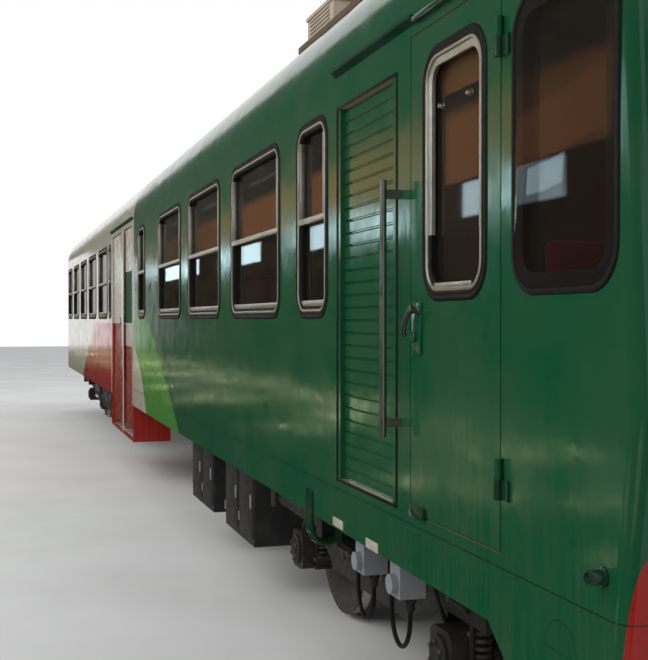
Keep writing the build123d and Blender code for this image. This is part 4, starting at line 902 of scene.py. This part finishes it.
# Bogie dressing: coil springs, axle-box covers, bolts and pipes
BOGIE_X = 8.0
AXLE_X = 1.225
AXLE_Z = 0.49
FRAME_Y = 1.0
SPRING_WIRE = 0.020
SPRING_TURNS = 5
SPRING_SEAT = [(0, 0.13), (0.018, 0.13), (0.026, 0.10), (0.026, 0.0)]
AXLE_COVER = [(0, 0.095), (0.018, 0.095), (0.024, 0.086), (0.024, 0.052), (0.034, 0.046), (0.034, 0.0)]
COVER_BOLT = [(0, 0.012), (0.012, 0.012), (0.015, 0.008)]
GUIDE_BOLT = [(0, 0.014), (0.012, 0.014), (0.015, 0.009)]
FRAME_BOLT = [(0, 0.02), (0.014, 0.02), (0.018, 0.012)]
AXLE_PIPE = ((0.10, 1.06, 0.60), (0.10, 1.10, 0.70), (0.24, 1.09, 0.82), (0.5, 1.085, 0.80),
             (0.775, 1.08, 0.72))
BOGIE_PIPE = ((-1.4, 0.735), (-0.7, 0.76), (-0.5, 0.64), (0.5, 0.64), (0.7, 0.76), (1.4, 0.735))


def coil(piece, foot, height, radius, wire, turns, segments=14):
    """A coil spring standing on its foot, its end turns flattened."""
    points = []
    steps = turns * segments
    for step in range(steps + 1):
        turn = 2 * pi * step / segments
        rise = min(max((step / steps - 0.08) / 0.84, 0.0), 1.0)
        points.append((foot[0] + radius * cos(turn), foot[1] + radius * sin(turn),
                       foot[2] + wire + (height - 2 * wire) * rise))
    piece.tube(points, wire, 8)


for end, way in ENDS:
    body = f"bogie_{end}"
    springs = Piece(f"coil_springs_{end}", dark_metal, body, "dark_paint")
    spring_low, spring_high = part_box(f"bolster_springs_{end}")
    box_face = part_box(f"axle_boxes_{end}")[1].y
    fittings = Piece(f"bogie_fittings_{end}", dark_metal, body, "dark_paint")
    hardware = Piece(f"bogie_bolts_{end}", rusty_metal, body, "dark_paint")
    middle_x = way * BOGIE_X
    for side in SIDES:
        outward = (0, side, 0)
        height = spring_high.z - spring_low.z
        for foot_z, rise in ((spring_low.z, 1), (spring_high.z, -1)):
            springs.turned((middle_x, side * FRAME_Y, foot_z), (0, 0, rise), SPRING_SEAT)
        foot = (middle_x, side * FRAME_Y, spring_low.z + 0.016)
        coil(springs, foot, height - 0.032, 0.108, SPRING_WIRE, SPRING_TURNS)
        coil(springs, foot, height - 0.032, 0.062, 0.013, SPRING_TURNS + 2)
        for axle in SIDES:
            box_x = middle_x + axle * AXLE_X
            fittings.turned((box_x, side * (box_face - 0.002), AXLE_Z), outward, AXLE_COVER, 28)
            for step in range(6):
                turn = 2 * pi * (step + 0.5) / 6
                hardware.turned((box_x + 0.068 * cos(turn), side * (box_face + 0.022),
                                 AXLE_Z + 0.068 * sin(turn)), outward, COVER_BOLT, 6)
            for guide in SIDES:
                guide_x = box_x + guide * 0.143
                fittings.lump((guide_x, side * FRAME_Y, 0.385), (0.026, 0.06, 0.010), 0.004)
                for bolt_z in (0.44, 0.62):
                    hardware.turned((guide_x, side * 1.046, bolt_z), outward, GUIDE_BOLT, 6)
                small_foot = (guide_x + guide * 0.055, side * FRAME_Y, 0.475)
                coil(springs, small_foot, 0.195, 0.034, 0.010, 6, 10)
                fittings.block((guide_x - 0.02, side * FRAME_Y - 0.05, 0.455),
                               (guide_x + guide * 0.105, side * FRAME_Y + 0.05, 0.478), 0.005)
            fittings.tube([(box_x - axle * reach, side * pipe_y, pipe_z)
                           for reach, pipe_y, pipe_z in AXLE_PIPE], 0.012, 8)
        fittings.tube([(middle_x + reach, side * 1.075, pipe_z)
                       for reach, pipe_z in BOGIE_PIPE], 0.014, 8)
        for clip in (-1.2, -0.9, -0.3, 0.0, 0.3, 0.9, 1.2):
            clip_z = 0.64 if abs(clip) < 0.5 else 0.747
            hardware.lump((middle_x + clip, side * 1.077, clip_z), (0.015, 0.015, 0.02), 0.004)
        for reach in (-0.42, 0.42):
            hardware.turned((middle_x + reach, side * 1.064, 0.60), outward, FRAME_BOLT, 6)
    coils = springs.done()
    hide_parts(f"bolster_springs_{end}")
    fittings.done()
    hardware.done()

# Cab door handles: plate with lock boss and keyhole, and a bent lever
LOCK_BOSS = [(0, 0.022), (0.010, 0.022), (0.014, 0.016), (0.014, 0.0)]
LEVER_BOSS = [(0, 0.020), (0.006, 0.020), (0.010, 0.013), (0.040, 0.013), (0.044, 0.009)]
LEVER = ((1.578, 0.038, 2.085), (1.590, 0.044, 2.070), (1.615, 0.046, 2.045), (1.650, 0.045, 2.005),
         (1.672, 0.040, 1.978), (1.684, 0.030, 1.962))
for name, side in SIDE_NAMES:
    body = f"cab_door_{name}"
    back_plate = Piece(f"handle_plate_{name}", green_enamel, body, "body_paint")
    back_plate.panel(side, (1.66, 1.56), (-0.001, 0.009), (1.88, 2.10), 0.004)
    back_plate.boss(side, 1.622, 0.008, 1.955, LOCK_BOSS)
    plate_made = back_plate.done()
    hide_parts(f"cab_door_handle_{name}")
    lever = Piece(f"handle_lever_{name}", rail_finish, body, "rail_steel")
    lever.boss(side, 1.585, 0.008, 2.065, LEVER_BOSS)
    lever.tube([(along(back), side * (HALF_WIDTH + out), up(height))
                for back, out, height in LEVER], 0.0105)
    lever.boss(side, 1.622, 0.021, 1.955, [(0, 0.008), (0.003, 0.007)], 12)
    lever.boss(side, 1.622, 0.0085, 1.905, [(0, 0.010), (0.003, 0.009)], 12)
    lever.done()

# Body side fittings: blank plates, brackets, sockets, door jambs and the shutter's dark edges
DOOR_NEAR, DOOR_FAR = 10.93, 13.43
LABELS = ((2.687, 0.983), (2.172, 0.972))
LABEL_LENGTH = 0.165
LABEL_HIGH = 0.046
SOCKET = [(0, 0.030), (0.010, 0.030), (0.013, 0.023), (0.054, 0.023), (0.060, 0.018), (0.050, 0.012),
          (0.050, 0.0)]
BRACKET_BACK = 3.19
BRACKET = ((-0.002, 1.085), (0.004, 1.05), (0.006, 0.93), (0, 0.85), (-0.03, 0.795), (-0.09, 0.78),
           (-0.16, 0.80), (-0.19, 0.92))
WALL_DISC = [(0, 0.022), (0.005, 0.022), (0.009, 0.014), (0.010, 0.0)]
SHUTTER_EDGES = (((1.862, 1.845), (1.205, 3.10)), ((2.706, 2.688), (1.205, 3.10)),
                 ((2.706, 1.845), (3.095, 3.11)), ((2.706, 1.845), (1.20, 1.215)))
dark_green = Piece("side_brackets", dark_enamel, slot="body_paint")
white_trim = Piece("white_plates", enamel("white_enamel", WHITE, 0.2), slot="grey_paint")
jamb_enamel = enamel("jamb_enamel", (0.50, 0.40, 0.36), 0.2)
jamb_trim = Piece("door_jambs", jamb_enamel, slot="door_paint")
dark_trim = Piece("dark_trim", black_rubber, slot="black_rubber")
for side in SIDES:
    for back, height in LABELS:
        white_trim.panel(side, (back + LABEL_LENGTH / 2, back - LABEL_LENGTH / 2), (-0.001, 0.003),
                         (height - LABEL_HIGH / 2, height + LABEL_HIGH / 2), 0.001)
    dark_green.panel(side, (1.655, 1.515), (-0.001, 0.024), (1.205, 1.252), 0.005)
    dark_green.boss(side, 0.18, -0.004, 1.28, SOCKET, 20)
    bracket = [(side * (HALF_WIDTH + out), up(height)) for out, height in BRACKET]
    for reach in (-0.045, 0.0, 0.045):
        dark_green.tube([(along(BRACKET_BACK) + reach, *place) for place in bracket], 0.014, 8)
    for place in bracket[3:6]:
        dark_green.tube([(along(BRACKET_BACK) + reach, *place) for reach in (-0.05, 0.05)], 0.012, 8)
    for back, height in ((10.8, 2.39), (9.03, 2.47)):
        white_trim.boss(side, back, -0.001, height, WALL_DISC, 16)
    for back in (DOOR_NEAR + 0.07, DOOR_FAR - 0.04):
        jamb_trim.panel(side, (back + 0.022, back - 0.022), (-0.001, 0.005), (0.955, 3.20), 0.002)
    jamb_trim.block((along(DOOR_FAR) + 0.05, side * 0.99, up(0.53)),
                    (along(DOOR_NEAR) - 0.07, side * 1.41, up(0.534)), 0.001)
    for backs, heights in SHUTTER_EDGES:
        dark_trim.panel(side, backs, (-0.001, 0.004), heights, 0.002)
for trim in (dark_green, white_trim, jamb_trim, dark_trim):
    trim.done()

# Entrances: a pale edge strip on each front leaf, which swings with it
for name, side in SIDE_NAMES:
    leaf = f"entrance_leaf_{name}_front"
    low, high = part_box(leaf)
    face = high.y if side > 0 else -low.y
    strip = Piece(f"leaf_edge_{name}", jamb_enamel, leaf, "door_paint")
    strip.block((low.x + 0.002, side * (face - 0.002), low.z + 0.02),
                (low.x + 0.092, side * (face + 0.006), high.z - 0.02), 0.003)
    strip.done()

# Wheels: a hub on each face of the web, and a fillet inside the rim
WHEEL_BACK = 0.68
WEB_FACE = 0.74
RIM_INSIDE = 0.398
HUB = [(0, 0.215), (0.010, 0.200), (0.030, 0.160), (0.055, 0.135), (0.112, 0.126), (0.118, 0.118),
       (0.118, 0.081)]
INNER_HUB = [(0, 0.175), (0.008, 0.160), (0.022, 0.130), (0.040, 0.122), (0.044, 0.116), (0.044, 0.081)]
RIM_FILLET = [(0, RIM_INSIDE + 0.002), (0.060, RIM_INSIDE + 0.002), (0.052, RIM_INSIDE - 0.010),
              (0.020, RIM_INSIDE - 0.028), (0, 0.335)]
for wheelset in NODE_FINISHES[wheel_finish].split():
    low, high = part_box(wheelset)
    axle = (low + high) / 2
    hubs = Piece(wheelset.replace("wheelset", "wheel_hubs"), wheel_finish, wheelset, "wheel_steel")
    for side in SIDES:
        face = (axle.x, side * (WEB_FACE - 0.002), axle.z)
        hubs.turned(face, (0, side, 0), HUB, 40)
        hubs.turned((axle.x, side * (WHEEL_BACK + 0.002), axle.z), (0, -side, 0), INNER_HUB, 40)
        hubs.turned(face, (0, side, 0), RIM_FILLET, 48, closed=True)
    hubs.done()

# Roof: a cooler on its tray, transverse seams, and the gutter run on over the cab doors
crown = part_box("roof")[1].z
TRAY = (3.60, 4.985)
TRAY_HALF = 1.0
COOLER = (4.37, 4.985)
COOLER_HALF = 0.93
SEAM_RADIUS = 3.0176
SEAM_TURN = 19.5
tray_metal = grimy("tray_metal", (0.10, 0.055, 0.03), rust=0.4, dust=0.3)
tray = Piece("roof_tray", tray_metal, slot="grey_paint")
tray.block((along(TRAY[1]), -TRAY_HALF, crown - 0.09), (along(TRAY[0]), TRAY_HALF, crown - 0.04), 0.006)
for back in (TRAY[0] + 0.1, sum(TRAY) / 2, TRAY[1] - 0.1):
    for side in SIDES:
        tray.lump((along(back), side * 0.88, crown - 0.125), (0.03, 0.06, 0.04), 0.004)
tray.done()
cooler = Piece("roof_cooler", tan_metal, slot="grey_paint")
top = cad_box[1].z - 0.003
rear_x, front_x = along(COOLER[1]), along(COOLER[0])
cooler.block((rear_x, -COOLER_HALF, crown - 0.045), (front_x, COOLER_HALF, top - 0.02), 0.012)
cooler.block((rear_x, -COOLER_HALF - 0.012, top - 0.03),
             (front_x + 0.012, COOLER_HALF + 0.012, top), 0.008)
for side in SIDES:
    for step in range(5):
        slat_z = crown + 0.01 + 0.028 * step
        cooler.block((rear_x + 0.08, side * (COOLER_HALF - 0.002), slat_z),
                     (front_x - 0.08, side * (COOLER_HALF + 0.010), slat_z + 0.012), 0.003)
for step in range(9):
    slat_y = -0.8 + 0.2 * step
    for face_x, way in ((front_x, 1), (rear_x, -1)):
        cooler.lump((face_x + way * 0.003, slat_y, crown + 0.065), (0.005, 0.07, 0.045), 0.003)
cooler.done()
seams = Piece("roof_seams", side_livery, slot="body_paint")
for step in range(13):
    turns = [radians(-SEAM_TURN + 2 * SEAM_TURN * point / 20) for point in range(21)]
    seam_x = along(2.9 + 1.55 * step)
    seams.tube([(seam_x, SEAM_RADIUS * sin(turn), crown - SEAM_RADIUS * (1 - cos(turn)))
                for turn in turns], 0.009, 6)
seams.done()
cab_gutters = Piece("cab_gutters", dark_enamel, slot="body_paint")
gutter_low, gutter_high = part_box("rain_gutters")
for side in SIDES:
    cab_gutters.block((along(1.625), side * (HALF_WIDTH - 0.004), gutter_low.z),
                      (along(0.79), side * gutter_high.y, gutter_low.z + 0.024), 0.004)
cab_gutters.done()

# Cab doors: a blind behind the top of each droplight, held by two round fasteners
BLIND_FOOT = 2.93
BLIND_STEPS = 24
FASTENER = [(0, 0.018), (0.004, 0.018), (0.008, 0.013), (0.020, 0.012), (0.024, 0.008)]
for name, side in SIDE_NAMES:
    body = f"cab_door_{name}"
    pane_low, pane_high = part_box(f"cab_door_glass_{name}")
    inside_y = min(abs(pane_low.y), abs(pane_high.y))
    blind = Piece(f"door_blind_{name}", blind_finish, body, "inner_lining")
    folds = []
    for step in range(BLIND_STEPS + 1):
        share = step / BLIND_STEPS
        fold = 0.004 * sin(share * 7 * pi)
        place_x = pane_low.x + 0.006 + (pane_high.x - pane_low.x - 0.012) * share
        folds.append([(place_x, side * (inside_y - depth), place_z) for depth, place_z in (
            (0.010 + fold, up(BLIND_FOOT)), (0.010, pane_high.z - 0.004), (0.014, pane_high.z - 0.004),
            (0.014 + fold, up(BLIND_FOOT)))])
    blind.rows(folds)
    blind.done()
    knobs = Piece(f"door_fasteners_{name}", steel, body, "rail_steel")
    for back in (1.181, 1.449):
        knobs.turned((along(back), side * (inside_y - 0.001), up(2.888)), (0, side, 0), FASTENER, 16)
    knobs.done()

# Jumper leads: each hangs from its connector box in a loop and goes back up into the underframe
LEAD_DIAMETER = 0.022
LEAD_OFFSETS = [(0, 0), (0, -0.050), (-0.010, -0.110), (-0.050, -0.175), (-0.120, -0.205),
                (-0.190, -0.175), (-0.232, -0.105), (-0.240, -0.020)]


def jumper_lead(number, start):
    """A hanging lead as a smooth curve."""
    lead = bpy.data.curves.new("jumper_lead", "CURVE")
    lead.dimensions = "3D"
    lead.bevel_depth = LEAD_DIAMETER / 2
    lead.bevel_resolution = 4
    lead.resolution_u = 12
    lead.use_fill_caps = True
    line = lead.splines.new("NURBS")
    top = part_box("underframe")[0].z + 0.01
    points = [start + Vector((reach, 0, drop)) for reach, drop in LEAD_OFFSETS]
    end = points[-1]
    points += [Vector((end.x, start.y, end.z + share * (top - end.z))) for share in (0.5, 1.0)]
    line.points.add(len(points) - 1)
    for index, point in enumerate(points):
        line.points[index].co = (*point, 1)
    line.order_u = 3
    line.use_endpoint_u = True
    lead.materials.append(black_rubber)
    made = placed(f"jumper_lead_{number}", lead)
    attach(made, "root")


# Underfloor: tank straps and plugs, case doors, pipes with clips, and the leads' sleeves
PIPES = ((-9.8, -5.9, 1.27, 0.985, 0.018, 10), (5.9, 9.8, 1.27, 0.985, 0.018, 10),
         (-5.6, 5.6, 0.32, 0.93, 0.022, 12), (-5.6, 5.6, 0.42, 0.96, 0.014, 10))
TANK_PLUG = [(0, 0.045), (0.012, 0.045), (0.012, 0.022), (0.040, 0.020), (0.044, 0.014)]
LEAD_SLEEVE = [(0, 0.030), (0.03, 0.030), (0.034, 0.022), (0.074, 0.020), (0.074, 0.0)]
SOCKET_HIGH = 0.1
under_pipes = Piece("under_pipes", dark_metal, slot="dark_paint")
under_fittings = Piece("under_fittings", grey_metal, slot="grey_paint")
straps = Piece("tank_straps", rusty_metal, slot="dark_paint")
for low, high in solid_boxes("air_tanks"):
    radius = (high.z - low.z) / 2
    middle = (low + high) / 2
    band = [(0, radius - 0.004), (0, radius + 0.004), (0.05, radius + 0.004), (0.05, radius - 0.004)]
    for share in (0.2, 0.8):
        strap_x = low.x + (high.x - low.x) * share
        straps.turned((strap_x - 0.025, middle.y, middle.z), (1, 0, 0), band, 40, closed=True)
    for end_x, way in ((low.x, -1), (high.x, 1)):
        straps.turned((end_x - way * 0.002, middle.y, middle.z), (way, 0, 0), TANK_PLUG, 12)
for low, high in solid_boxes("equipment_cases"):
    side = side_of(low)
    face = max(abs(low.y), abs(high.y))
    width = (high.x - low.x) / 2
    mid_z = (low.z + high.z) / 2
    for door in (0, 1):
        near = low.x + door * width + 0.03
        far = near + width - 0.06
        under_pipes.block((near, side * (face - 0.003), low.z + 0.05),
                          (far, side * (face + 0.008), high.z - 0.06), 0.006)
        under_fittings.lump((far - 0.0375, side * (face + 0.013), mid_z), (0.0125, 0.007, 0.05), 0.004)
        for hinge_z in (low.z + 0.12, high.z - 0.14):
            under_fittings.turned((near - 0.008, side * (face + 0.006), hinge_z), (0, 0, 1),
                                  [(0, 0.008), (0.07, 0.008)], 10)
for side in SIDES:
    for start, end, pipe_y, pipe_z, radius, segments in PIPES:
        under_pipes.tube([(pipe_x, side * pipe_y, pipe_z) for pipe_x in (start, end)], radius, segments)
    for step in range(9):
        clip_x = -5.2 + 1.3 * step
        straps.lump((clip_x, side * 0.37, 0.96), (0.02, 0.09, 0.06), 0.004)
    for clip_x in (-9.6, -8.9, -7.1, -6.3, 6.3, 7.1, 8.0, 8.9, 9.6):
        straps.lump((clip_x, side * 1.27, 0.9925), (0.02, 0.025, 0.0275), 0.004)
boxes = [(low, high) for low, high in solid_boxes("connector_boxes") if high.z - low.z >= SOCKET_HIGH]
for number, (low, high) in enumerate(boxes, 1):
    middle = (low + high) / 2
    under_pipes.turned((middle.x, middle.y, low.z + 0.004), (0, 0, -1), LEAD_SLEEVE, 12)
    jumper_lead(number, Vector((middle.x, middle.y, low.z - 0.066)))
under_pipes.done()
under_fittings.done()
straps.done()

# Ends: couplings, cocks, lamp bezels and wipers
SHACKLE = ((-0.06, 0.72), (-0.062, 0.60), (-0.045, 0.53), (0, 0.505), (0.045, 0.53), (0.062, 0.60),
           (0.06, 0.72))
LINK_PINS = ((-0.07, 1.12, 0.022, 0.14, 14), (-0.085, 0.82, 0.026, 0.17, 14))
SCREW = [(0, 0.020), (0.24, 0.020), (0.24, 0.034), (0.27, 0.034), (0.27, 0.0)]
WIPER_BOSS = [(0, 0.022), (0.055, 0.022), (0.06, 0.012)]
end_steel = Piece("end_fittings", greased, slot="dark_paint")
lamp_rings = Piece("lamp_bezels", steel, slot="rail_steel")
head_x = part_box("headstocks")[1].x
for way in SIDES:
    hook_x = way * (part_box("drawhooks")[1].x - 0.055)
    for side in SIDES:
        end_steel.lump((hook_x, side * 0.043, 0.97), (0.018, 0.009, 0.17), 0.006)
    for pin_y, pin_z, radius, length, segments in LINK_PINS:
        end_steel.turned((hook_x, pin_y, pin_z), (0, 1, 0), [(0, radius), (length, radius)], segments)
    end_steel.turned((hook_x, 0, 0.83), (0, 0, -1), SCREW, 14)
    end_steel.tube([(hook_x, *place) for place in SHACKLE], 0.015, 10)
    end_steel.turned((hook_x, -0.085, 0.72), (0, 1, 0), [(0, 0.020), (0.17, 0.020)], 12)
    for side in SIDES:
        for place_y, radius in ((0.40, 0.030), (0.55, 0.026)):
            end_steel.turned((way * (head_x - 0.01), side * place_y, 1.02), (way, 0, 0),
                             [(0, 0.04), (0.02, 0.04), (0.02, radius), (0.08, radius), (0.08, 0.0)], 14)
            end_steel.lump((way * (head_x + 0.0725), side * place_y, 0.98),
                           (0.0125, 0.012, 0.025), 0.004)
for low, high in solid_boxes("lamps"):
    way, face = (1, high.x) if high.x > 0 else (-1, low.x)
    middle = (low + high) / 2
    radius = (high.z - low.z) / 2
    lamp_rings.turned((face - way * 0.03, middle.y, middle.z), (way, 0, 0),
                      [(0, radius - 0.004), (0, radius + 0.012), (0.028, radius + 0.012),
                       (0.034, radius + 0.004), (0.030, radius - 0.004)], 32, closed=True)
for low, high in solid_boxes("end_screens"):
    side = side_of(low)
    pivot = Vector((high.x + 0.012, side * 0.62, low.z - 0.01))
    tip = Vector((high.x + 0.004, side * 0.28, low.z + 0.55))
    end_steel.turned(pivot - Vector((0.05, 0, 0)), (1, 0, 0), WIPER_BOSS, 12)
    end_steel.tube([pivot, (pivot + tip) / 2 + Vector((0.012, 0, 0)), tip], 0.006, 8)
    end_steel.lump(tip, (0.006, 0.008, 0.28), 0.003)
end_steel.done()
lamp_rings.done()

# Stage, light and camera
CAMERA_PLACE = (13.873, -3.144, 2.06)
CAMERA_TURN = radians(17.2)
CAMERA_PITCH = radians(0.58)
LENS = 58.9
STAGE_REACH = 70
LAMP_SIZE = 15.0
LAMPS = (("key", (11, -18, 14), (2, 0, 1.0), 1750), ("fill", (-10, -18, 13), (-5, 0, 1.0), 1450),
         ("far", (3, 18, 14), (0, 0, 1.0), 1900))


def aim(made, place, ahead):
    """Put a camera or lamp at a place, looking ahead."""
    made.location = place
    made.rotation_euler = ahead.to_track_quat("-Z", "Y").to_euler()


camera = placed("camera", bpy.data.cameras.new("camera"))
aim(camera, CAMERA_PLACE, Vector((-cos(CAMERA_TURN) * cos(CAMERA_PITCH),
                                  sin(CAMERA_TURN) * cos(CAMERA_PITCH), -sin(CAMERA_PITCH))))
camera.data.lens = LENS
camera.data.sensor_width = 36
camera.data.sensor_fit = "AUTO"
camera.data.clip_start = 0.05
camera.data.clip_end = 300
bpy.context.scene.camera = camera

floor_mesh = bpy.data.meshes.new("stage_floor")
floor_corners = [(x * STAGE_REACH, y * STAGE_REACH, 0) for x, y in ((-1, -1), (1, -1), (1, 1), (-1, 1))]
floor_mesh.from_pydata(floor_corners, [], [(0, 1, 2, 3)])
stage_floor = placed("stage_floor", floor_mesh)
ground = Paint("stage_ground")
ground_shade = ground.mix(ground.blots(0.6, 3, 0.3, 0.7), (0.62, 0.61, 0.59), (0.70, 0.69, 0.67))
floor_mesh.materials.append(ground.finish(ground_shade, 0.8, Specular_IOR_Level=0.0))

# Reflection flags: only gloss sees them, so the paint keeps its depth under the pale studio
FLAG_GAP = (4.15, 4.85)
GAP_STRETCHES = ((-6.6, -2.4), (-14.5, -9.5), (-18.5, -15.8), (-31, -24), (-46, -36), (4, 12))
FLAG_FOOT = 0.012
FLAG_NEAR = 1.9
FLAG_FAR = 9.0
FLAG_TOP = 6.2
FLAG_CANOPY = 2.1
FLAG_REACH = (-60, 26)


def flag_paint():
    """What gloss reflects beside the coach: patchy ground, a low wall, pale gaps, a brown canopy."""
    flag = Paint("stage_flag_paint")
    walls = flag.mix(flag.blots(0.35, 2, 0.4, 0.6, stretch=(1, 1, 3)), (0.028, 0.024, 0.020),
                     (0.075, 0.060, 0.042))
    first, *others = [flag.within(flag.x, start, end, 0.05) for start, end in GAP_STRETCHES]
    for stretch in others:
        first = first | stretch
    shade = flag.mix(flag.within(flag.z, *FLAG_GAP, 0.03) * first, walls, (3.6, 4.9, 5.3))
    canopy = flag.mix(flag.ramp(flag.x, -40.0, -6.0), (0.22, 0.14, 0.08), (1.05, 0.46, 0.20))
    canopy = flag.mix(flag.ramp(flag.x, 1.0, 4.0), canopy, (0.10, 0.07, 0.045))
    out = abs(flag.y)
    canopy = flag.mix(flag.fall(out, FLAG_FAR - 0.6, FLAG_FAR - 0.1), canopy, (0.10, 0.11, 0.09))
    shade = flag.mix(flag.ramp(flag.z, FLAG_GAP[1] + 0.05, FLAG_GAP[1] + 0.10), shade, canopy)
    patches = flag.blots(0.5, 2, 0.56, 0.60, stretch=(0.8, 1.6, 1)) * flag.ramp(out, 4.2, 5.2)
    shade = flag.mix(flag.fall(flag.z, 0.02, 0.06), shade,
                     flag.mix(patches, (0.018, 0.020, 0.018), (1.9, 1.9, 1.1)))
    shine = flag.node("ShaderNodeEmission", Color=shade, Strength=1.0)
    flag.put(flag.tree.nodes["Material Output"].inputs["Surface"], Wire(flag, shine.outputs[0]))
    flag.tree.nodes.remove(flag.shader)
    return flag.material


flag_material = flag_paint()
FLAG_PROFILE = ((FLAG_NEAR, FLAG_FOOT), (FLAG_FAR, FLAG_FOOT), (FLAG_FAR, FLAG_TOP),
                (FLAG_CANOPY, FLAG_TOP + 0.6))
for name, side in SIDE_NAMES:
    corners = [(reach, side * flag_y, flag_z)
               for flag_y, flag_z in FLAG_PROFILE for reach in FLAG_REACH]
    flag_mesh = bpy.data.meshes.new("stage_flag")
    flag_mesh.from_pydata(corners, [], [(0, 1, 3, 2), (2, 3, 5, 4), (4, 5, 7, 6)])
    flag_mesh.materials.append(flag_material)
    flag_object = placed(f"stage_flag_{name}", flag_mesh)
    for ray in ("camera", "diffuse", "transmission", "shadow", "volume_scatter"):
        setattr(flag_object, f"visible_{ray}", False)

# World: white where it is seen or mirrored, and a dimmer cool light on the coach
world = bpy.data.worlds.new("studio")
bpy.context.scene.world = world
studio = Tree(world)
studio.tree.nodes.clear()
rays = studio.node("ShaderNodeLightPath").outputs
kinds = ("Camera", "Glossy", "Transmission")
seen, mirrored, through = [Wire(studio, rays[f"Is {kind} Ray"]) for kind in kinds]
shown = studio.node("ShaderNodeBackground", Color=(1, 1, 1), Strength=1.0)
lit = studio.node("ShaderNodeBackground", Color=(0.93, 0.96, 1), Strength=0.78)
blend = studio.node("ShaderNodeMixShader", Fac=seen | mirrored | through)
for index, background in ((1, lit), (2, shown)):
    studio.put(blend.inputs[index], Wire(studio, background.outputs[0]))
studio.node("ShaderNodeOutputWorld", Surface=Wire(studio, blend.outputs[0]))

for name, place, target, power in LAMPS:
    lamp = placed(name, bpy.data.lights.new(name, "AREA"))
    aim(lamp, place, Vector(target) - Vector(place))
    lamp.data.size = LAMP_SIZE
    lamp.data.energy = power

bpy.context.scene.view_settings.view_transform = "Standard"

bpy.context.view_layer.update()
